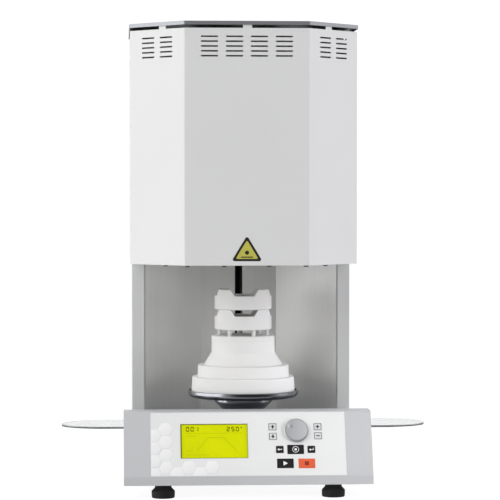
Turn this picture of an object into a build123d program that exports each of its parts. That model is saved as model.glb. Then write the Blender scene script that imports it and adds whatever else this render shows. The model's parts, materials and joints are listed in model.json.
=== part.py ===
from build123d import *
import math
import os

# Bench-top, bottom-loading sintering furnace: a hood with the hot chamber stands on a cabinet
# with an open loading bay, a sloping console lies in front and a shelf on each side.
# Frame: origin on the bench under the middle of the outline, +X right, +Y back, +Z up. mm.

os.makedirs("parts", exist_ok=True)

SIDES = (-1, 1)             # left, right
SQRT2 = math.sqrt(2.0)
OVER = 1.0                  # overrun of cutters past a face
RUN = 0.05                  # running clearance

# ----------------------------------------------------------------- driving dimensions
SHEET = 1.5                 # sheet metal thickness
HOOD_W = 175.0              # hood half width
HOOD_FRONT = -147.0         # hood front facet
HOOD_CUT = 81.0             # leg of the 45 degree front facets
HOOD_Z0, HOOD_Z1 = 344.3, 702.0
LID_Z0, LID_Z1 = 706.7, 712.5
LID_OVER = 1.6              # lid overhang past the hood
LID_RIM = 1.2               # thickness of the lid rim
FLOOR_Z0 = HOOD_Z0 + SHEET  # hood floor plate
FLOOR_Z1 = FLOOR_Z0 + 2.0

BACK_Y = 201.0              # outer face of the rear panel
PANEL_Y = BACK_Y - SHEET    # inner face of the rear panel
FLANGE_Y = PANEL_Y - SHEET  # front face of the rear flanges
REAR_FLANGE_X = 155.0       # inner edge of the rear flanges
CAB_W = 172.0               # cabinet half width
CAB_IN = CAB_W - SHEET      # inner face of the cabinet sides
COL_Y = 18.0                # front face of the column flanges
COL_FLANGE = 19.0           # width of the column flanges
LINER_Y = 95.0              # rear face of the bay liner's back wall
LINER_W = 60.4              # half width of the liner's back wall
SLOT_W = 6.0                # half width of the arm slot
DECK_Z0, DECK_Z1 = 92.0, 94.0
PAN_Z0 = 19.8               # underside of the base pan
PAN_Z1 = PAN_Z0 + SHEET

CON_W = 186.0               # console half width
CON_FRONT = -203.3          # console lip
CON_LIP = 32.9              # top of the lip
CON_TOP_Y = -158.4          # front edge of the console's top strip
CON_TOP_Z = 125.4
CON_BACK = -121.3
CON_T = 2.5                 # console wall

AXIS_Y = -39.2              # lift and chamber axis

# fasteners: pan-head screws and their clearance holes
HEAD_R, HEAD_H, SHANK_R, SHANK_L, HOLE_R = 3.8, 2.3, 1.95, 6.0, 2.1
REAR_SCREW_X = 163.5
CABINET_SCREW_Z = (34, 118, 216, 314)
HOOD_SCREW_Z = (372, 470, 580, 688)
FOOT_X, FOOT_Y0, FOOT_Y1 = 127.3, -185.7, 158.0
FOOT_SEAT = 15.8            # bottom of the foot's screw hole, seat of the head
SHELF_SCREW_X, SHELF_SCREW_Y = 152, (-80, -20)

hood_screws = [(side * x, y) for side in SIDES
               for x, y in ((34, -138.5), (90, -138.5), (122, -107.0))]
shelf_screws = [(side * SHELF_SCREW_X, y) for side in SIDES for y in SHELF_SCREW_Y]
foot_points = [(side * FOOT_X, y) for side in SIDES for y in (FOOT_Y0, FOOT_Y1)]


# ----------------------------------------------------------------- helpers
def box(x0, x1, y0, y1, z0, z1):
    return Pos((x0 + x1) / 2, (y0 + y1) / 2, (z0 + z1) / 2) * Box(x1 - x0, y1 - y0, z1 - z0)


def mid_box(half, y0, y1, z0, z1):
    """Box centred on x = 0."""
    return box(-half, half, y0, y1, z0, z1)


def side_box(side, inner, outer, y0, y1, z0, z1):
    """Box on the left or right, between two distances from x = 0."""
    x0, x1 = sorted((side * inner, side * outer))
    return box(x0, x1, y0, y1, z0, z1)


def cyl(x, y, z0, z1, radius):
    return Pos(x, y, (z0 + z1) / 2) * Cylinder(radius, z1 - z0)


def cyl_x(y, z, x0, x1, radius):
    return Pos((x0 + x1) / 2, y, z) * Rot(0, 90, 0) * Cylinder(radius, x1 - x0)


def cyl_y(x, z, y0, y1, radius):
    return Pos(x, (y0 + y1) / 2, z) * Rot(90, 0, 0) * Cylinder(radius, y1 - y0)


def holes(points, z0, z1, radius=HOLE_R):
    """Vertical cutters through a plate from z0 to z1."""
    return [cyl(x, y, z0 - OVER, z1 + OVER, radius) for x, y in points]


def rear_holes(heights, sides=SIDES):
    """Screw cutters through the rear panel and its flanges."""
    return [cyl_y(side * REAR_SCREW_X, z, BACK_Y - 6, BACK_Y + OVER, HOLE_R)
            for side in sides for z in heights]


def outline_face(points):
    return make_face(Polyline(*points, close=True))


def prism(points, z0, z1):
    """Outline of (x, y) extruded along Z."""
    return Pos(0, 0, z0) * extrude(outline_face(points), z1 - z0)


def prism_x(points, x0, x1):
    """Outline of (y, z) extruded along X."""
    return extrude(Plane.YZ.offset(x0) * outline_face(points), x1 - x0)


def lathe(points, x=0.0, y=AXIS_Y):
    """Outline of (radius, z) turned round a vertical axis."""
    return Pos(x, y, 0) * revolve(Plane.XZ * outline_face(points), Axis.Z)


def slot(length, height):
    """Slot cutter, length along X, height along Z."""
    return Rot(90, 0, 0) * extrude(SlotOverall(length, height), 4, both=True)


def top_edges(shape):
    return shape.edges().group_by(Axis.Z)[-1]


def round_rim(shape, radius):
    """Fillet the topmost circular edges."""
    circles = shape.edges().filter_by(GeomType.CIRCLE)
    return fillet(circles.group_by(Axis.Z)[-1], radius)


def one(shape):
    solids = shape.solids()
    return solids[0] if len(solids) == 1 else Compound(children=list(solids))


def group(shapes):
    return Compound(children=[one(shape) for shape in shapes])


def write(name, shape):
    piece = one(shape)
    piece.label = name
    export_step(piece, "parts/" + name + ".step")


# ----------------------------------------------------------------- hood
VENT_Z = [660.0 + 7.3 * i for i in range(5)]
VENT_L, VENT_H = 25.8, 2.3
FRONT_VENTS = (-56.4, -18.7, 18.7, 56.4)    # slot middles on the front facet, x
FACET_VENTS = (38.5, 76.1)  # slot middles along the angled facets, from their front edge
TAB_Z0, TAB_Z1 = HOOD_Z1 - 4, LID_Z1 - SHEET


def hood_prism(offset, back, radius, z0, z1):
    """Hood outline moved out by offset, its four front corners bent to radius."""
    width = HOOD_W + offset
    front = HOOD_FRONT - offset
    shift = offset * (SQRT2 - 1.0)
    corner_x = HOOD_W - HOOD_CUT + shift
    corner_y = HOOD_FRONT + HOOD_CUT - shift
    face = outline_face([(-width, back), (-width, corner_y), (-corner_x, front),
                         (corner_x, front), (width, corner_y), (width, back)])
    if radius > 0:
        face = fillet([v for v in face.vertices() if v.Y < back - 1], radius)
    return Pos(0, 0, z0) * extrude(face, z1 - z0)


def on_facet(side, along, z, inward=0.0):
    """Place on an angled facet, along it from its front edge."""
    x = side * (HOOD_W - HOOD_CUT + (along - inward) / SQRT2)
    y = HOOD_FRONT + (along + inward) / SQRT2
    return Pos(x, y, z) * Rot(0, 0, side * 45)


def hood_shell():
    shell = hood_prism(0, PANEL_Y, 4.0, HOOD_Z0, HOOD_Z1)
    shell = shell - hood_prism(-SHEET, BACK_Y, 2.5, HOOD_Z0 - OVER, HOOD_Z1 + OVER)
    # rear return flanges for the rear panel
    for side in SIDES:
        shell += side_box(side, REAR_FLANGE_X, HOOD_W - SHEET / 2,
                          FLANGE_Y, PANEL_Y, HOOD_Z0, HOOD_Z1)
    # bottom return flange in front of the columns
    flange = hood_prism(-SHEET / 2, COL_Y - 1, 0, HOOD_Z0, FLOOR_Z0)
    shell += flange - hood_prism(-16, COL_Y + 5, 0, HOOD_Z0 - OVER, FLOOR_Z0 + OVER)
    cutters = []
    for z in VENT_Z:
        for x in FRONT_VENTS:
            cutters.append(Pos(x, HOOD_FRONT, z) * slot(VENT_L, VENT_H))
        for along in FACET_VENTS:
            for side in SIDES:
                cutters.append(on_facet(side, along, z) * slot(VENT_L, VENT_H))
    shell = shell - cutters
    # tabs that carry the lid across the dark gap
    shell += box(-6.0, 8.0, HOOD_FRONT, HOOD_FRONT + SHEET, TAB_Z0, TAB_Z1)
    for side in SIDES:
        tab = Box(14, SHEET, TAB_Z1 - TAB_Z0)
        shell += on_facet(side, 46.0, (TAB_Z0 + TAB_Z1) / 2, SHEET / 2) * tab
        for y in (20.0, 150.0):
            shell += side_box(side, HOOD_W - SHEET, HOOD_W, y - 7, y + 7, TAB_Z0, TAB_Z1)
    shell = shell - holes(hood_screws, HOOD_Z0, HOOD_Z0 + 2)
    return shell - rear_holes(HOOD_SCREW_Z)


def lid_plate():
    back = PANEL_Y + LID_OVER
    lid = hood_prism(LID_OVER, back, 5.0, LID_Z0, LID_Z1)
    lid = lid - hood_prism(LID_OVER - LID_RIM, back - LID_RIM, 3.8,
                           LID_Z0 - OVER, LID_Z1 - SHEET)
    return fillet(top_edges(lid), 0.7)


def hood_floor():
    """Plate on the hood's bottom flange that carries the insulation."""
    gap = 0.3
    floor = hood_prism(-SHEET - gap, COL_Y - 1.2, 2.2, FLOOR_Z0, FLOOR_Z1)
    floor += mid_box(CAB_IN - gap, COL_Y - 8, LINER_Y, FLOOR_Z0, FLOOR_Z1)
    floor = floor - holes([(0, AXIS_Y)], FLOOR_Z0, FLOOR_Z1, 84.0)
    return floor - holes(hood_screws, FLOOR_Z0, FLOOR_Z1)


# ----------------------------------------------------------------- cabinet
SIDE_TOP = HOOD_Z0 + 14.0
INLET_X, INLET_Z0, INLET_Z1 = -110.0, 38.0, 92.0
INLET_HALF = 20.0           # half width of the inlet body
FAN_X, FAN_Z = 0.0, 600.0
GRILLE_R, GRILLE_PITCH, GRILLE_H = 41.0, 8.6, 4.2
# rear slot fields: middles in x, lowest z, pitch, rows, slot length
REAR_VENTS = (
    ((-84, 84), 250, 9, 9, 58),
    ((-96, 96), 628, 8, 6, 52),
    ((60,), 44, 9, 5, 90),
)
REAR_VENT_H = 3.2


def side_panel_right():
    fit = 0.2
    panel = prism_x([(CON_BACK, PAN_Z0), (PANEL_Y, PAN_Z0), (PANEL_Y, SIDE_TOP),
                     (COL_Y, SIDE_TOP), (COL_Y, DECK_Z1), (CON_BACK, DECK_Z1)], CAB_IN, CAB_W)
    # notches at the top front and top rear clear the hood's flanges
    panel = panel - box(CAB_W - 3, CAB_W + OVER, COL_Y - OVER, COL_Y + SHEET + fit,
                        FLOOR_Z0, SIDE_TOP + OVER)
    panel = panel - box(CAB_W - 3, CAB_W + OVER, FLANGE_Y - fit, BACK_Y,
                        HOOD_Z0 - fit, SIDE_TOP + OVER)
    column = box(CAB_W - COL_FLANGE, CAB_W - SHEET / 2, COL_Y, COL_Y + SHEET, DECK_Z1, FLOOR_Z0)
    rear = box(REAR_FLANGE_X, CAB_W - SHEET / 2, FLANGE_Y, PANEL_Y, PAN_Z0, HOOD_Z0 - fit)
    return panel + column + rear - rear_holes(CABINET_SCREW_Z, (1,))


def rear_panel():
    cutters = rear_holes(CABINET_SCREW_Z + HOOD_SCREW_Z)
    half = INLET_HALF + 0.2
    cutters.append(box(INLET_X - half, INLET_X + half, BACK_Y - 5, BACK_Y + OVER,
                       INLET_Z0 - 0.2, INLET_Z1 + 0.2))
    # round fan grille
    for i in range(-4, 5):
        z = i * GRILLE_PITCH
        chord = 2 * math.sqrt(GRILLE_R ** 2 - z ** 2)
        cutters.append(Pos(FAN_X, BACK_Y - 1, FAN_Z + z) * slot(chord, GRILLE_H))
    for middles, first_z, pitch, rows, length in REAR_VENTS:
        for row in range(rows):
            for x in middles:
                cutters.append(Pos(x, BACK_Y - 1, first_z + pitch * row)
                               * slot(length, REAR_VENT_H))
    return mid_box(171.0, PANEL_Y, BACK_Y, 22.0, 706.2) - cutters


def liner_corners(offset):
    """Front and back corner of the liner's right side, moved away from the bay by offset."""
    front_x, back_y = CAB_W - COL_FLANGE, LINER_Y - SHEET
    run_x, run_y = front_x - LINER_W, back_y - COL_Y
    length = math.hypot(run_x, run_y)
    start_x = front_x + run_y / length * offset
    start_y = COL_Y + run_x / length * offset

    def corner(y):
        return start_x - run_x * (y - start_y) / run_y, y

    return corner(COL_Y), corner(back_y + offset)


LINER_FRONT_OUT, LINER_BACK_OUT = liner_corners(SHEET)


def recess_liner():
    """Loading bay liner: back wall with the arm slot and two splayed sides."""
    right = [*liner_corners(0.0), LINER_BACK_OUT, LINER_FRONT_OUT]
    front, back, back_out, front_out = right
    left = [(-x, y) for x, y in (back, front, front_out, back_out)]
    liner = prism([front, back, *left, back_out, front_out], DECK_Z1, FLOOR_Z0)
    # keep the liner's front edge behind the column flange
    liner = liner - mid_box(CAB_W, COL_Y - 5, COL_Y + SHEET, DECK_Z1 - OVER, FLOOR_Z0 + OVER)
    return liner - mid_box(SLOT_W, LINER_Y - 6, LINER_Y + 4, DECK_Z1 + 3.0, FLOOR_Z0 + OVER)


def deck_plate():
    """Floor of the loading bay, carries the shelves."""
    half, step_y = CAB_IN - 0.2, COL_Y + 8
    front_x, back_x = LINER_FRONT_OUT[0], LINER_BACK_OUT[0]
    deck = prism([(-half, CON_BACK + 0.2), (half, CON_BACK + 0.2), (half, step_y),
                  (front_x, step_y), (back_x, LINER_Y), (-back_x, LINER_Y),
                  (-front_x, step_y), (-half, step_y)], DECK_Z0, DECK_Z1)
    # folded rear lip, then folded side lips
    deck += mid_box(back_x - 4, LINER_Y - SHEET, LINER_Y, DECK_Z0 - 22, DECK_Z0)
    for side in SIDES:
        deck += side_box(side, half - SHEET, half, CON_BACK + 2, step_y, DECK_Z0 - 16, DECK_Z0)
    return deck - holes(shelf_screws, DECK_Z0, DECK_Z1)


def base_pan():
    """Floor with folded flanges, wider under the console, slotted in the middle."""
    half, rear = CAB_IN - 0.4, FLANGE_Y - 0.3
    inset = CON_T + 0.4
    pan = mid_box(half, CON_FRONT + 4, rear, PAN_Z0, PAN_Z1)
    pan += mid_box(CON_W - inset, CON_FRONT + inset, CON_BACK - inset, PAN_Z0, PAN_Z1)
    for side in SIDES:
        pan += side_box(side, half - SHEET, half, CON_BACK + 0.5, rear, PAN_Z0, PAN_Z0 + 22)
    pan += mid_box(150, rear - SHEET, rear, PAN_Z0, PAN_Z0 + 16)
    for i in range(6):
        pan -= mid_box(60, -60 + 16 * i, -56 + 16 * i, PAN_Z0 - OVER, PAN_Z1 + OVER)
    return pan - holes(foot_points, PAN_Z0, PAN_Z0 + 2)


# bevelled foot outline: radius, z
FOOT_PROFILE = [
    (0, 0), (16.2, 0), (17.2, 1.0), (17.4, 9.4), (16.6, 11.2),
    (13.0, 14.6), (12.4, 16.0), (12.4, PAN_Z0), (0, PAN_Z0),
]


def rubber_feet():
    """Feet with a counterbore from below for the fixing screw."""
    return group(lathe(FOOT_PROFILE, x, y) - cyl(x, y, -OVER, FOOT_SEAT, 5.0)
                 - cyl(x, y, 10, PAN_Z0 + OVER, HOLE_R) for x, y in foot_points)


# ----------------------------------------------------------------- console
# Slope coordinates: x, up (the slope from the lip fold), out (of its surface).
SLOPE_RUN = CON_TOP_Y - CON_FRONT
SLOPE_RISE = CON_TOP_Z - CON_LIP
SLOPE_LEN = math.hypot(SLOPE_RUN, SLOPE_RISE)
SLOPE_NORMAL = (0, -SLOPE_RISE / SLOPE_LEN, SLOPE_RUN / SLOPE_LEN)
SLOPE = Plane(origin=(0, CON_FRONT, CON_LIP), x_dir=(1, 0, 0), z_dir=SLOPE_NORMAL)

OVL_W, OVL_T = 146.3, 1.0   # overlay half width and thickness
OVL_UP0, OVL_UP1 = 0.8, 101.4
OVL_MID, OVL_H = (OVL_UP0 + OVL_UP1) / 2, OVL_UP1 - OVL_UP0
KNOB_X, KNOB_UP, KNOB_R, KNOB_H = 72.7, 71.2, 18.5, 4.3
KNOB_GAP = 0.3              # below the knob
KNOB_SHAFT_R, KNOB_HOLE_R = 3.0, 4.0
LCD_X0, LCD_X1, LCD_UP0, LCD_UP1 = -101.4, -0.4, 28.6, 83.3

# name: (x, up, width, height)
KEYS = {
    "key_up": (37.1, 77.7, 12.0, 11.4),
    "key_down": (37.2, 62.5, 12.0, 11.4),
    "key_plus": (104.9, 77.5, 11.8, 11.2),
    "key_minus": (105.1, 63.1, 11.8, 11.2),
    "key_back": (47.0, 41.8, 11.3, 11.0),
    "key_select": (70.7, 41.7, 24.6, 14.4),
    "key_enter": (94.3, 41.7, 11.3, 11.0),
    "key_start": (54.7, 19.9, 24.7, 14.7),
    "key_stop": (86.8, 19.7, 24.7, 14.7),
}
STEM_R = 2.0                # key stem
TACT_TOP = -7.9             # top of the switch buttons behind the keys

BOARD_X0, BOARD_X1, BOARD_UP0, BOARD_UP1 = 24.0, 118.0, 9.0, 94.0
BOARD_BOTTOM, BOARD_TOP = -13.6, -12.0
bosses = [(x, up) for up in (BOARD_UP0 + 4, BOARD_UP1 - 4) for x in (BOARD_X0 + 4, BOARD_X1 - 4)]


def on_slope(shape):
    return SLOPE.location * shape


def slope_box(x0, x1, up0, up1, out0, out1):
    return on_slope(box(x0, x1, up0, up1, out0, out1))


def slope_square(x, up, half, out0, out1):
    return slope_box(x - half, x + half, up - half, up + half, out0, out1)


def slope_rounded(x, up, width, height, radius, out0, out1):
    plate = extrude(RectangleRounded(width, height, radius), out1 - out0)
    return on_slope(Pos(x, up, out0) * plate)


def slope_cyl(x, up, out0, out1, radius):
    return on_slope(cyl(x, up, out0, out1, radius))


def lcd_box(grow_x, grow_up, out0, out1):
    """Box over the display opening, grown on each side."""
    return slope_box(LCD_X0 - grow_x, LCD_X1 + grow_x, LCD_UP0 - grow_up, LCD_UP1 + grow_up,
                     out0, out1)


def console_shell():
    console = prism_x([(CON_FRONT, PAN_Z0), (CON_FRONT, CON_LIP), (CON_TOP_Y, CON_TOP_Z),
                       (CON_BACK, CON_TOP_Z), (CON_BACK, PAN_Z0)], -CON_W, CON_W)
    # round the folds at the lip and the top (the back top edge too)
    folds = [e for e in console.edges().filter_by(Axis.X)
             if abs(e.center().Z - CON_LIP) < 0.1 or abs(e.center().Z - CON_TOP_Z) < 0.1]
    console = fillet(folds, 2.4)
    # hollow inside, open at the bottom
    lean = SLOPE_RUN / SLOPE_RISE
    wall_y = CON_T * SLOPE_LEN / SLOPE_RISE     # slope wall measured along Y
    front, back, top = CON_FRONT + CON_T, CON_BACK - CON_T, CON_TOP_Z - CON_T
    hollow = [(front, PAN_Z0 - OVER), (front, CON_LIP + (CON_T - wall_y) / lean),
              (CON_FRONT + (top - CON_LIP) * lean + wall_y, top),
              (back, top), (back, PAN_Z0 - OVER)]
    console = console - prism_x(hollow, -CON_W + CON_T, CON_W - CON_T)
    # overlay pocket, display opening, key and dial holes
    console = console - slope_rounded(0, OVL_MID, 2 * OVL_W + 0.4, OVL_H + 0.4, 1.2, -OVL_T, 4)
    console = console - lcd_box(0, 0, -6, 4)
    console = console - [slope_cyl(x, up, -6, 4, 2.3) for x, up, _, _ in KEYS.values()]
    console = console - slope_cyl(KNOB_X, KNOB_UP, -6, 4, KNOB_HOLE_R)
    # bosses that carry the board
    for x, up in bosses:
        console += slope_cyl(x, up, BOARD_TOP, -CON_T + 0.4, 3.0)
        console -= slope_cyl(x, up, BOARD_TOP - OVER, -5.0, 1.2)
    # cable way in the back wall, below the deck
    console = console - mid_box(70, CON_BACK - 6, CON_BACK + OVER, 30, 80)
    # the base pan runs forward under the back wall
    return console - mid_box(CAB_IN, CON_BACK - 6, CON_BACK + OVER, PAN_Z0 - OVER, PAN_Z1 + 0.3)


def control_overlay():
    overlay = slope_rounded(0, OVL_MID, 2 * OVL_W, OVL_H, 1.0, -OVL_T, 0)
    overlay = overlay - lcd_box(0, 0, -2, 1)
    overlay = overlay - [slope_rounded(x, up, width + 0.3, height + 0.3, 0.9, -2, 1)
                         for x, up, width, height in KEYS.values()]
    return overlay - slope_cyl(KNOB_X, KNOB_UP, -2, 1, KNOB_HOLE_R)


def display_window():
    return lcd_box(-0.1, -0.1, -2.4, -1.2)


def display_module():
    return lcd_box(5, 5, -9.0, -CON_T - 0.05) + lcd_box(8, 3, -10.6, -9.0)


def key(x, up, width, height):
    """Key cap with a round stem behind it."""
    cap = on_slope(Pos(x, up, -0.5) * extrude(RectangleRounded(width, height, 0.8), 0.9))
    top = cap.faces().sort_by(lambda f: f.center().dot(Vector(*SLOPE_NORMAL)))[-1]
    cap = fillet(top.edges(), 0.22)
    return cap + slope_cyl(x, up, -7.4, -0.4, STEM_R)


def dial_knob():
    """Flat dial with a finger dimple and a shaft."""
    knob = extrude(Circle(KNOB_R), KNOB_H - KNOB_GAP)
    knob = fillet(top_edges(knob), 2.0)
    knob = fillet(knob.edges().group_by(Axis.Z)[0], 0.4)
    knob = Pos(0, 0, KNOB_GAP) * knob
    knob = knob - Pos(-8.8, 7.7, KNOB_H + 5.8) * Sphere(7.6)
    knob = knob + cyl(0, 0, -10.0, 1.0, KNOB_SHAFT_R)
    return on_slope(Pos(KNOB_X, KNOB_UP, 0) * knob)


def control_board():
    board = slope_box(BOARD_X0, BOARD_X1, BOARD_UP0, BOARD_UP1, BOARD_BOTTOM, BOARD_TOP)
    # a switch behind each key
    for x, up, _, _ in KEYS.values():
        board += slope_square(x, up, 3, BOARD_TOP, -8.6)
        board += slope_cyl(x, up, -8.6, TACT_TOP, 1.7)
    # housing of the dial shaft
    board += slope_square(KNOB_X, KNOB_UP, 7, BOARD_TOP, -6.5)
    board += slope_cyl(KNOB_X, KNOB_UP, -6.5, -3.0, 4.6)
    board -= slope_cyl(KNOB_X, KNOB_UP, -11.0, 0, KNOB_SHAFT_R + RUN)
    # blocks on the underside
    board += (slope_box(30, 60, 20, 34, -16.5, BOARD_BOTTOM)
              + slope_box(70, 84, 24, 38, -15.5, BOARD_BOTTOM)
              + slope_box(60, 100, 82, 90, -22, BOARD_BOTTOM))
    return board - [slope_cyl(x, up, -14, -11, 1.3) for x, up in bosses]


# ----------------------------------------------------------------- insulation and heating
CHAMBER_R = 70.0
CHAMBER_Z0, CHAMBER_Z1 = 430.0, 550.0
INS_R = 101.0
ROOF_Z1 = 608.0
ELEMENT_RING = 61.0         # radius to the middle of each heating element
ELEMENT_HALF = 12.0         # half the gap between an element's legs
ELEMENT_COUNT = 6
ELEMENT_STEP = 360 / ELEMENT_COUNT
ELEMENT_ANGLES = [ELEMENT_STEP * (i + 0.5) for i in range(ELEMENT_COUNT)]
BEND_Z = 454.0              # start of the element's lower bend
HOT_TOP, LEG_TOP = 557.0, 640.0
LEG_R = 4.0                 # thick cold ends
CLAMP_Z = 631.0

# stepped throat, radius and z
THROAT_PROFILE = [
    (82, FLOOR_Z1), (82, 366), (73, 366), (73, 384.6), (63, 384.6), (51, 403.2),
    (51, CHAMBER_Z0), (INS_R, CHAMBER_Z0), (INS_R, FLOOR_Z1),
]


def find_legs():
    points = []
    for angle in ELEMENT_ANGLES:
        cos, sin = math.cos(math.radians(angle)), math.sin(math.radians(angle))
        for side in SIDES:
            points.append((ELEMENT_RING * cos - side * ELEMENT_HALF * sin,
                           ELEMENT_RING * sin + side * ELEMENT_HALF * cos + AXIS_Y))
    return points


legs = find_legs()


def insulation_throat():
    return lathe(THROAT_PROFILE)


def insulation_wall():
    return lathe([(CHAMBER_R, CHAMBER_Z0), (CHAMBER_R, CHAMBER_Z1),
                  (INS_R, CHAMBER_Z1), (INS_R, CHAMBER_Z0)])


def insulation_roof():
    roof = cyl(0, AXIS_Y, CHAMBER_Z1, ROOF_Z1, INS_R)
    roof = roof - holes(legs, CHAMBER_Z1, ROOF_Z1, 4.6)
    return roof - holes([(0, AXIS_Y)], CHAMBER_Z1, ROOF_Z1, 3.6)


def heating_elements():
    """U-shaped hot wires hanging in the chamber from thicker cold ends."""
    half = ELEMENT_HALF
    left_top, left_low = (-half, 0, HOT_TOP), (-half, 0, BEND_Z)
    right_top, right_low = (half, 0, HOT_TOP), (half, 0, BEND_Z)
    wire = Wire([Edge.make_line(left_top, left_low),
                 Edge.make_three_point_arc(left_low, (0, 0, BEND_Z - half), right_low),
                 Edge.make_line(right_low, right_top)])
    element = sweep(Plane(origin=left_top, z_dir=(0, 0, -1)) * Circle(2.0), path=wire)
    for side in SIDES:
        element = element + cyl(side * half, 0, HOT_TOP - 1, LEG_TOP, LEG_R)
    return group(Pos(0, AXIS_Y, 0) * Rot(0, 0, angle) * Pos(ELEMENT_RING, 0, 0)
                 * Rot(0, 0, 90) * element for angle in ELEMENT_ANGLES)


def element_terminals():
    """Links join neighbouring cold ends in series; two end clamps take the supply."""
    leg_radius = math.hypot(ELEMENT_HALF, ELEMENT_RING)
    half_angle = ELEMENT_STEP / 2 - math.degrees(math.atan2(ELEMENT_HALF, ELEMENT_RING))
    chord = 2 * leg_radius * math.sin(math.radians(half_angle))
    link_radius = leg_radius * math.cos(math.radians(half_angle))

    def place(block, angle, radius):
        block = Pos(0, AXIS_Y, 0) * Rot(0, 0, angle) * Pos(radius, 0, 0) * block
        return block - [cyl(x, y, 620, 650, LEG_R) for x, y in legs]

    link = Pos(0, 0, CLAMP_Z) * Box(14, chord + 15, 10)
    link = link + Pos(0, 0, CLAMP_Z + 7) * Box(3, chord - 12, 5)
    clamp = Pos(0, 0, CLAMP_Z) * Box(14, 15, 10) + Pos(8, 0, CLAMP_Z + 3) * Box(16, 9, 3)
    terminals = [place(link, ELEMENT_STEP * i, link_radius) for i in range(1, ELEMENT_COUNT)]
    terminals += [place(clamp, 360 + side * half_angle, leg_radius) for side in SIDES]
    return group(terminals)


def thermocouple():
    probe = cyl(0, AXIS_Y, 543, 622, 3.0)
    return (probe + cyl(0, AXIS_Y, 622, 640, 9.0) + (Pos(0, AXIS_Y, 640) * Box(26, 18, 6))
            + cyl(0, AXIS_Y, ROOF_Z1, ROOF_Z1 + 4, 11))


# ----------------------------------------------------------------- lifted load
DISH_R = 86.3
DISH_Z0, DISH_Z1 = 137.0, 148.0
FLANGE_R = 45.2
HUB_R = 32.4
HUB_Z0, HUB_Z1 = 98.0, 130.0
RING3_R, RING3_Z1 = 80.0, 168.8     # lowest plug ring
RING2_R, RING2_Z1 = 71.0, 187.1
CONE_R0, CONE_R1, CONE_Z1 = 60.9, 49.0, 206.5
DISC_Z0, DISC_Z1 = 224.5, 232.5
POST_R, POST_RING, POST_Z1 = 3.1, 36.7, 242.1
POST_DEPTH = 4              # posts sunk into the disc
POST_ANGLES = (-7.1, 46, 97, 172.9, 232.9, 292.9)
TRAY_R, TRAY_H, TRAY_WALL = 44.25, 31.25, 3.6
ARM_W, ARM_Z0, ARM_Z1 = 5.0, 98.0, 128.0
ARM_FRONT = AXIS_Y + 10.0

# dish with a rolled rim on a round flange: radius, z
DISH_PROFILE = [
    (0, HUB_Z1), (FLANGE_R - 0.8, HUB_Z1), (FLANGE_R, HUB_Z1 + 0.8),
    (FLANGE_R, DISH_Z0 - 0.8), (FLANGE_R - 0.8, DISH_Z0), (DISH_R - 5.0, DISH_Z0),
    (DISH_R - 1.7, DISH_Z0 + 1.6), (DISH_R - 0.2, DISH_Z0 + 4.6), (DISH_R, DISH_Z0 + 6.0),
    (DISH_R, DISH_Z1 - 1.6), (DISH_R - 0.6, DISH_Z1 - 0.4), (DISH_R - 1.7, DISH_Z1),
    (DISH_R - 2.6, DISH_Z1 - 0.4), (DISH_R - 3.0, DISH_Z1 - 1.4), (DISH_R - 3.0, DISH_Z0 + 5.5),
    (DISH_R - 4.4, DISH_Z0 + 2.8), (DISH_R - 6.0, DISH_Z0 + 2.6), (0, DISH_Z0 + 2.6),
]
HUB_PROFILE = [
    (0, HUB_Z0), (HUB_R - 1, HUB_Z0), (HUB_R, HUB_Z0 + 1), (HUB_R, 117.0),
    (FLANGE_R - 0.6, HUB_Z1 - 0.8), (FLANGE_R - 0.6, HUB_Z1), (0, HUB_Z1),
]
posts = [(POST_RING * math.cos(math.radians(angle)),
          AXIS_Y + POST_RING * math.sin(math.radians(angle))) for angle in POST_ANGLES]


def lift_dish():
    return lathe(DISH_PROFILE)


def lift_hub():
    """Hub with a pocket for the arm, open to the back."""
    return lathe(HUB_PROFILE) - mid_box(ARM_W + RUN, ARM_FRONT - RUN, AXIS_Y + 60,
                                        HUB_Z0 - OVER, ARM_Z1 + RUN)


def tapered_disc(radius, taper, z0, z1, edge):
    """Disc, narrower by taper at the top, with a rounded top edge."""
    return round_rim(lathe([(0, z0), (radius, z0), (radius - taper, z1), (0, z1)]), edge)


def plug_base_ring():
    return tapered_disc(RING3_R, 1.2, DISH_Z0 + 2.8, RING3_Z1, 1.6)


def plug_step_ring():
    return tapered_disc(RING2_R, 0.6, RING3_Z1, RING2_Z1, 1.4)


def plug_cone():
    return lathe([(0, RING2_Z1), (CONE_R0, RING2_Z1), (CONE_R1 + 0.2, CONE_Z1),
                  (CONE_R1, CONE_Z1 + 0.6), (CONE_R1, DISC_Z0), (0, DISC_Z0)])


def plug_top_disc():
    disc = round_rim(lathe([(0, DISC_Z0), (CONE_R1 - 0.5, DISC_Z0), (CONE_R1, DISC_Z0 + 0.5),
                            (CONE_R1, DISC_Z1), (0, DISC_Z1)]), 2.0)
    for x, y in posts:
        disc = disc - cyl(x, y, DISC_Z1 - POST_DEPTH, DISC_Z1 + OVER, POST_R + 0.02)
    return disc


def tray_posts():
    rods = [cyl(x, y, DISC_Z1 - POST_DEPTH, POST_Z1, POST_R) for x, y in posts]
    return group(fillet(top_edges(rod), 0.7) for rod in rods)


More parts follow.
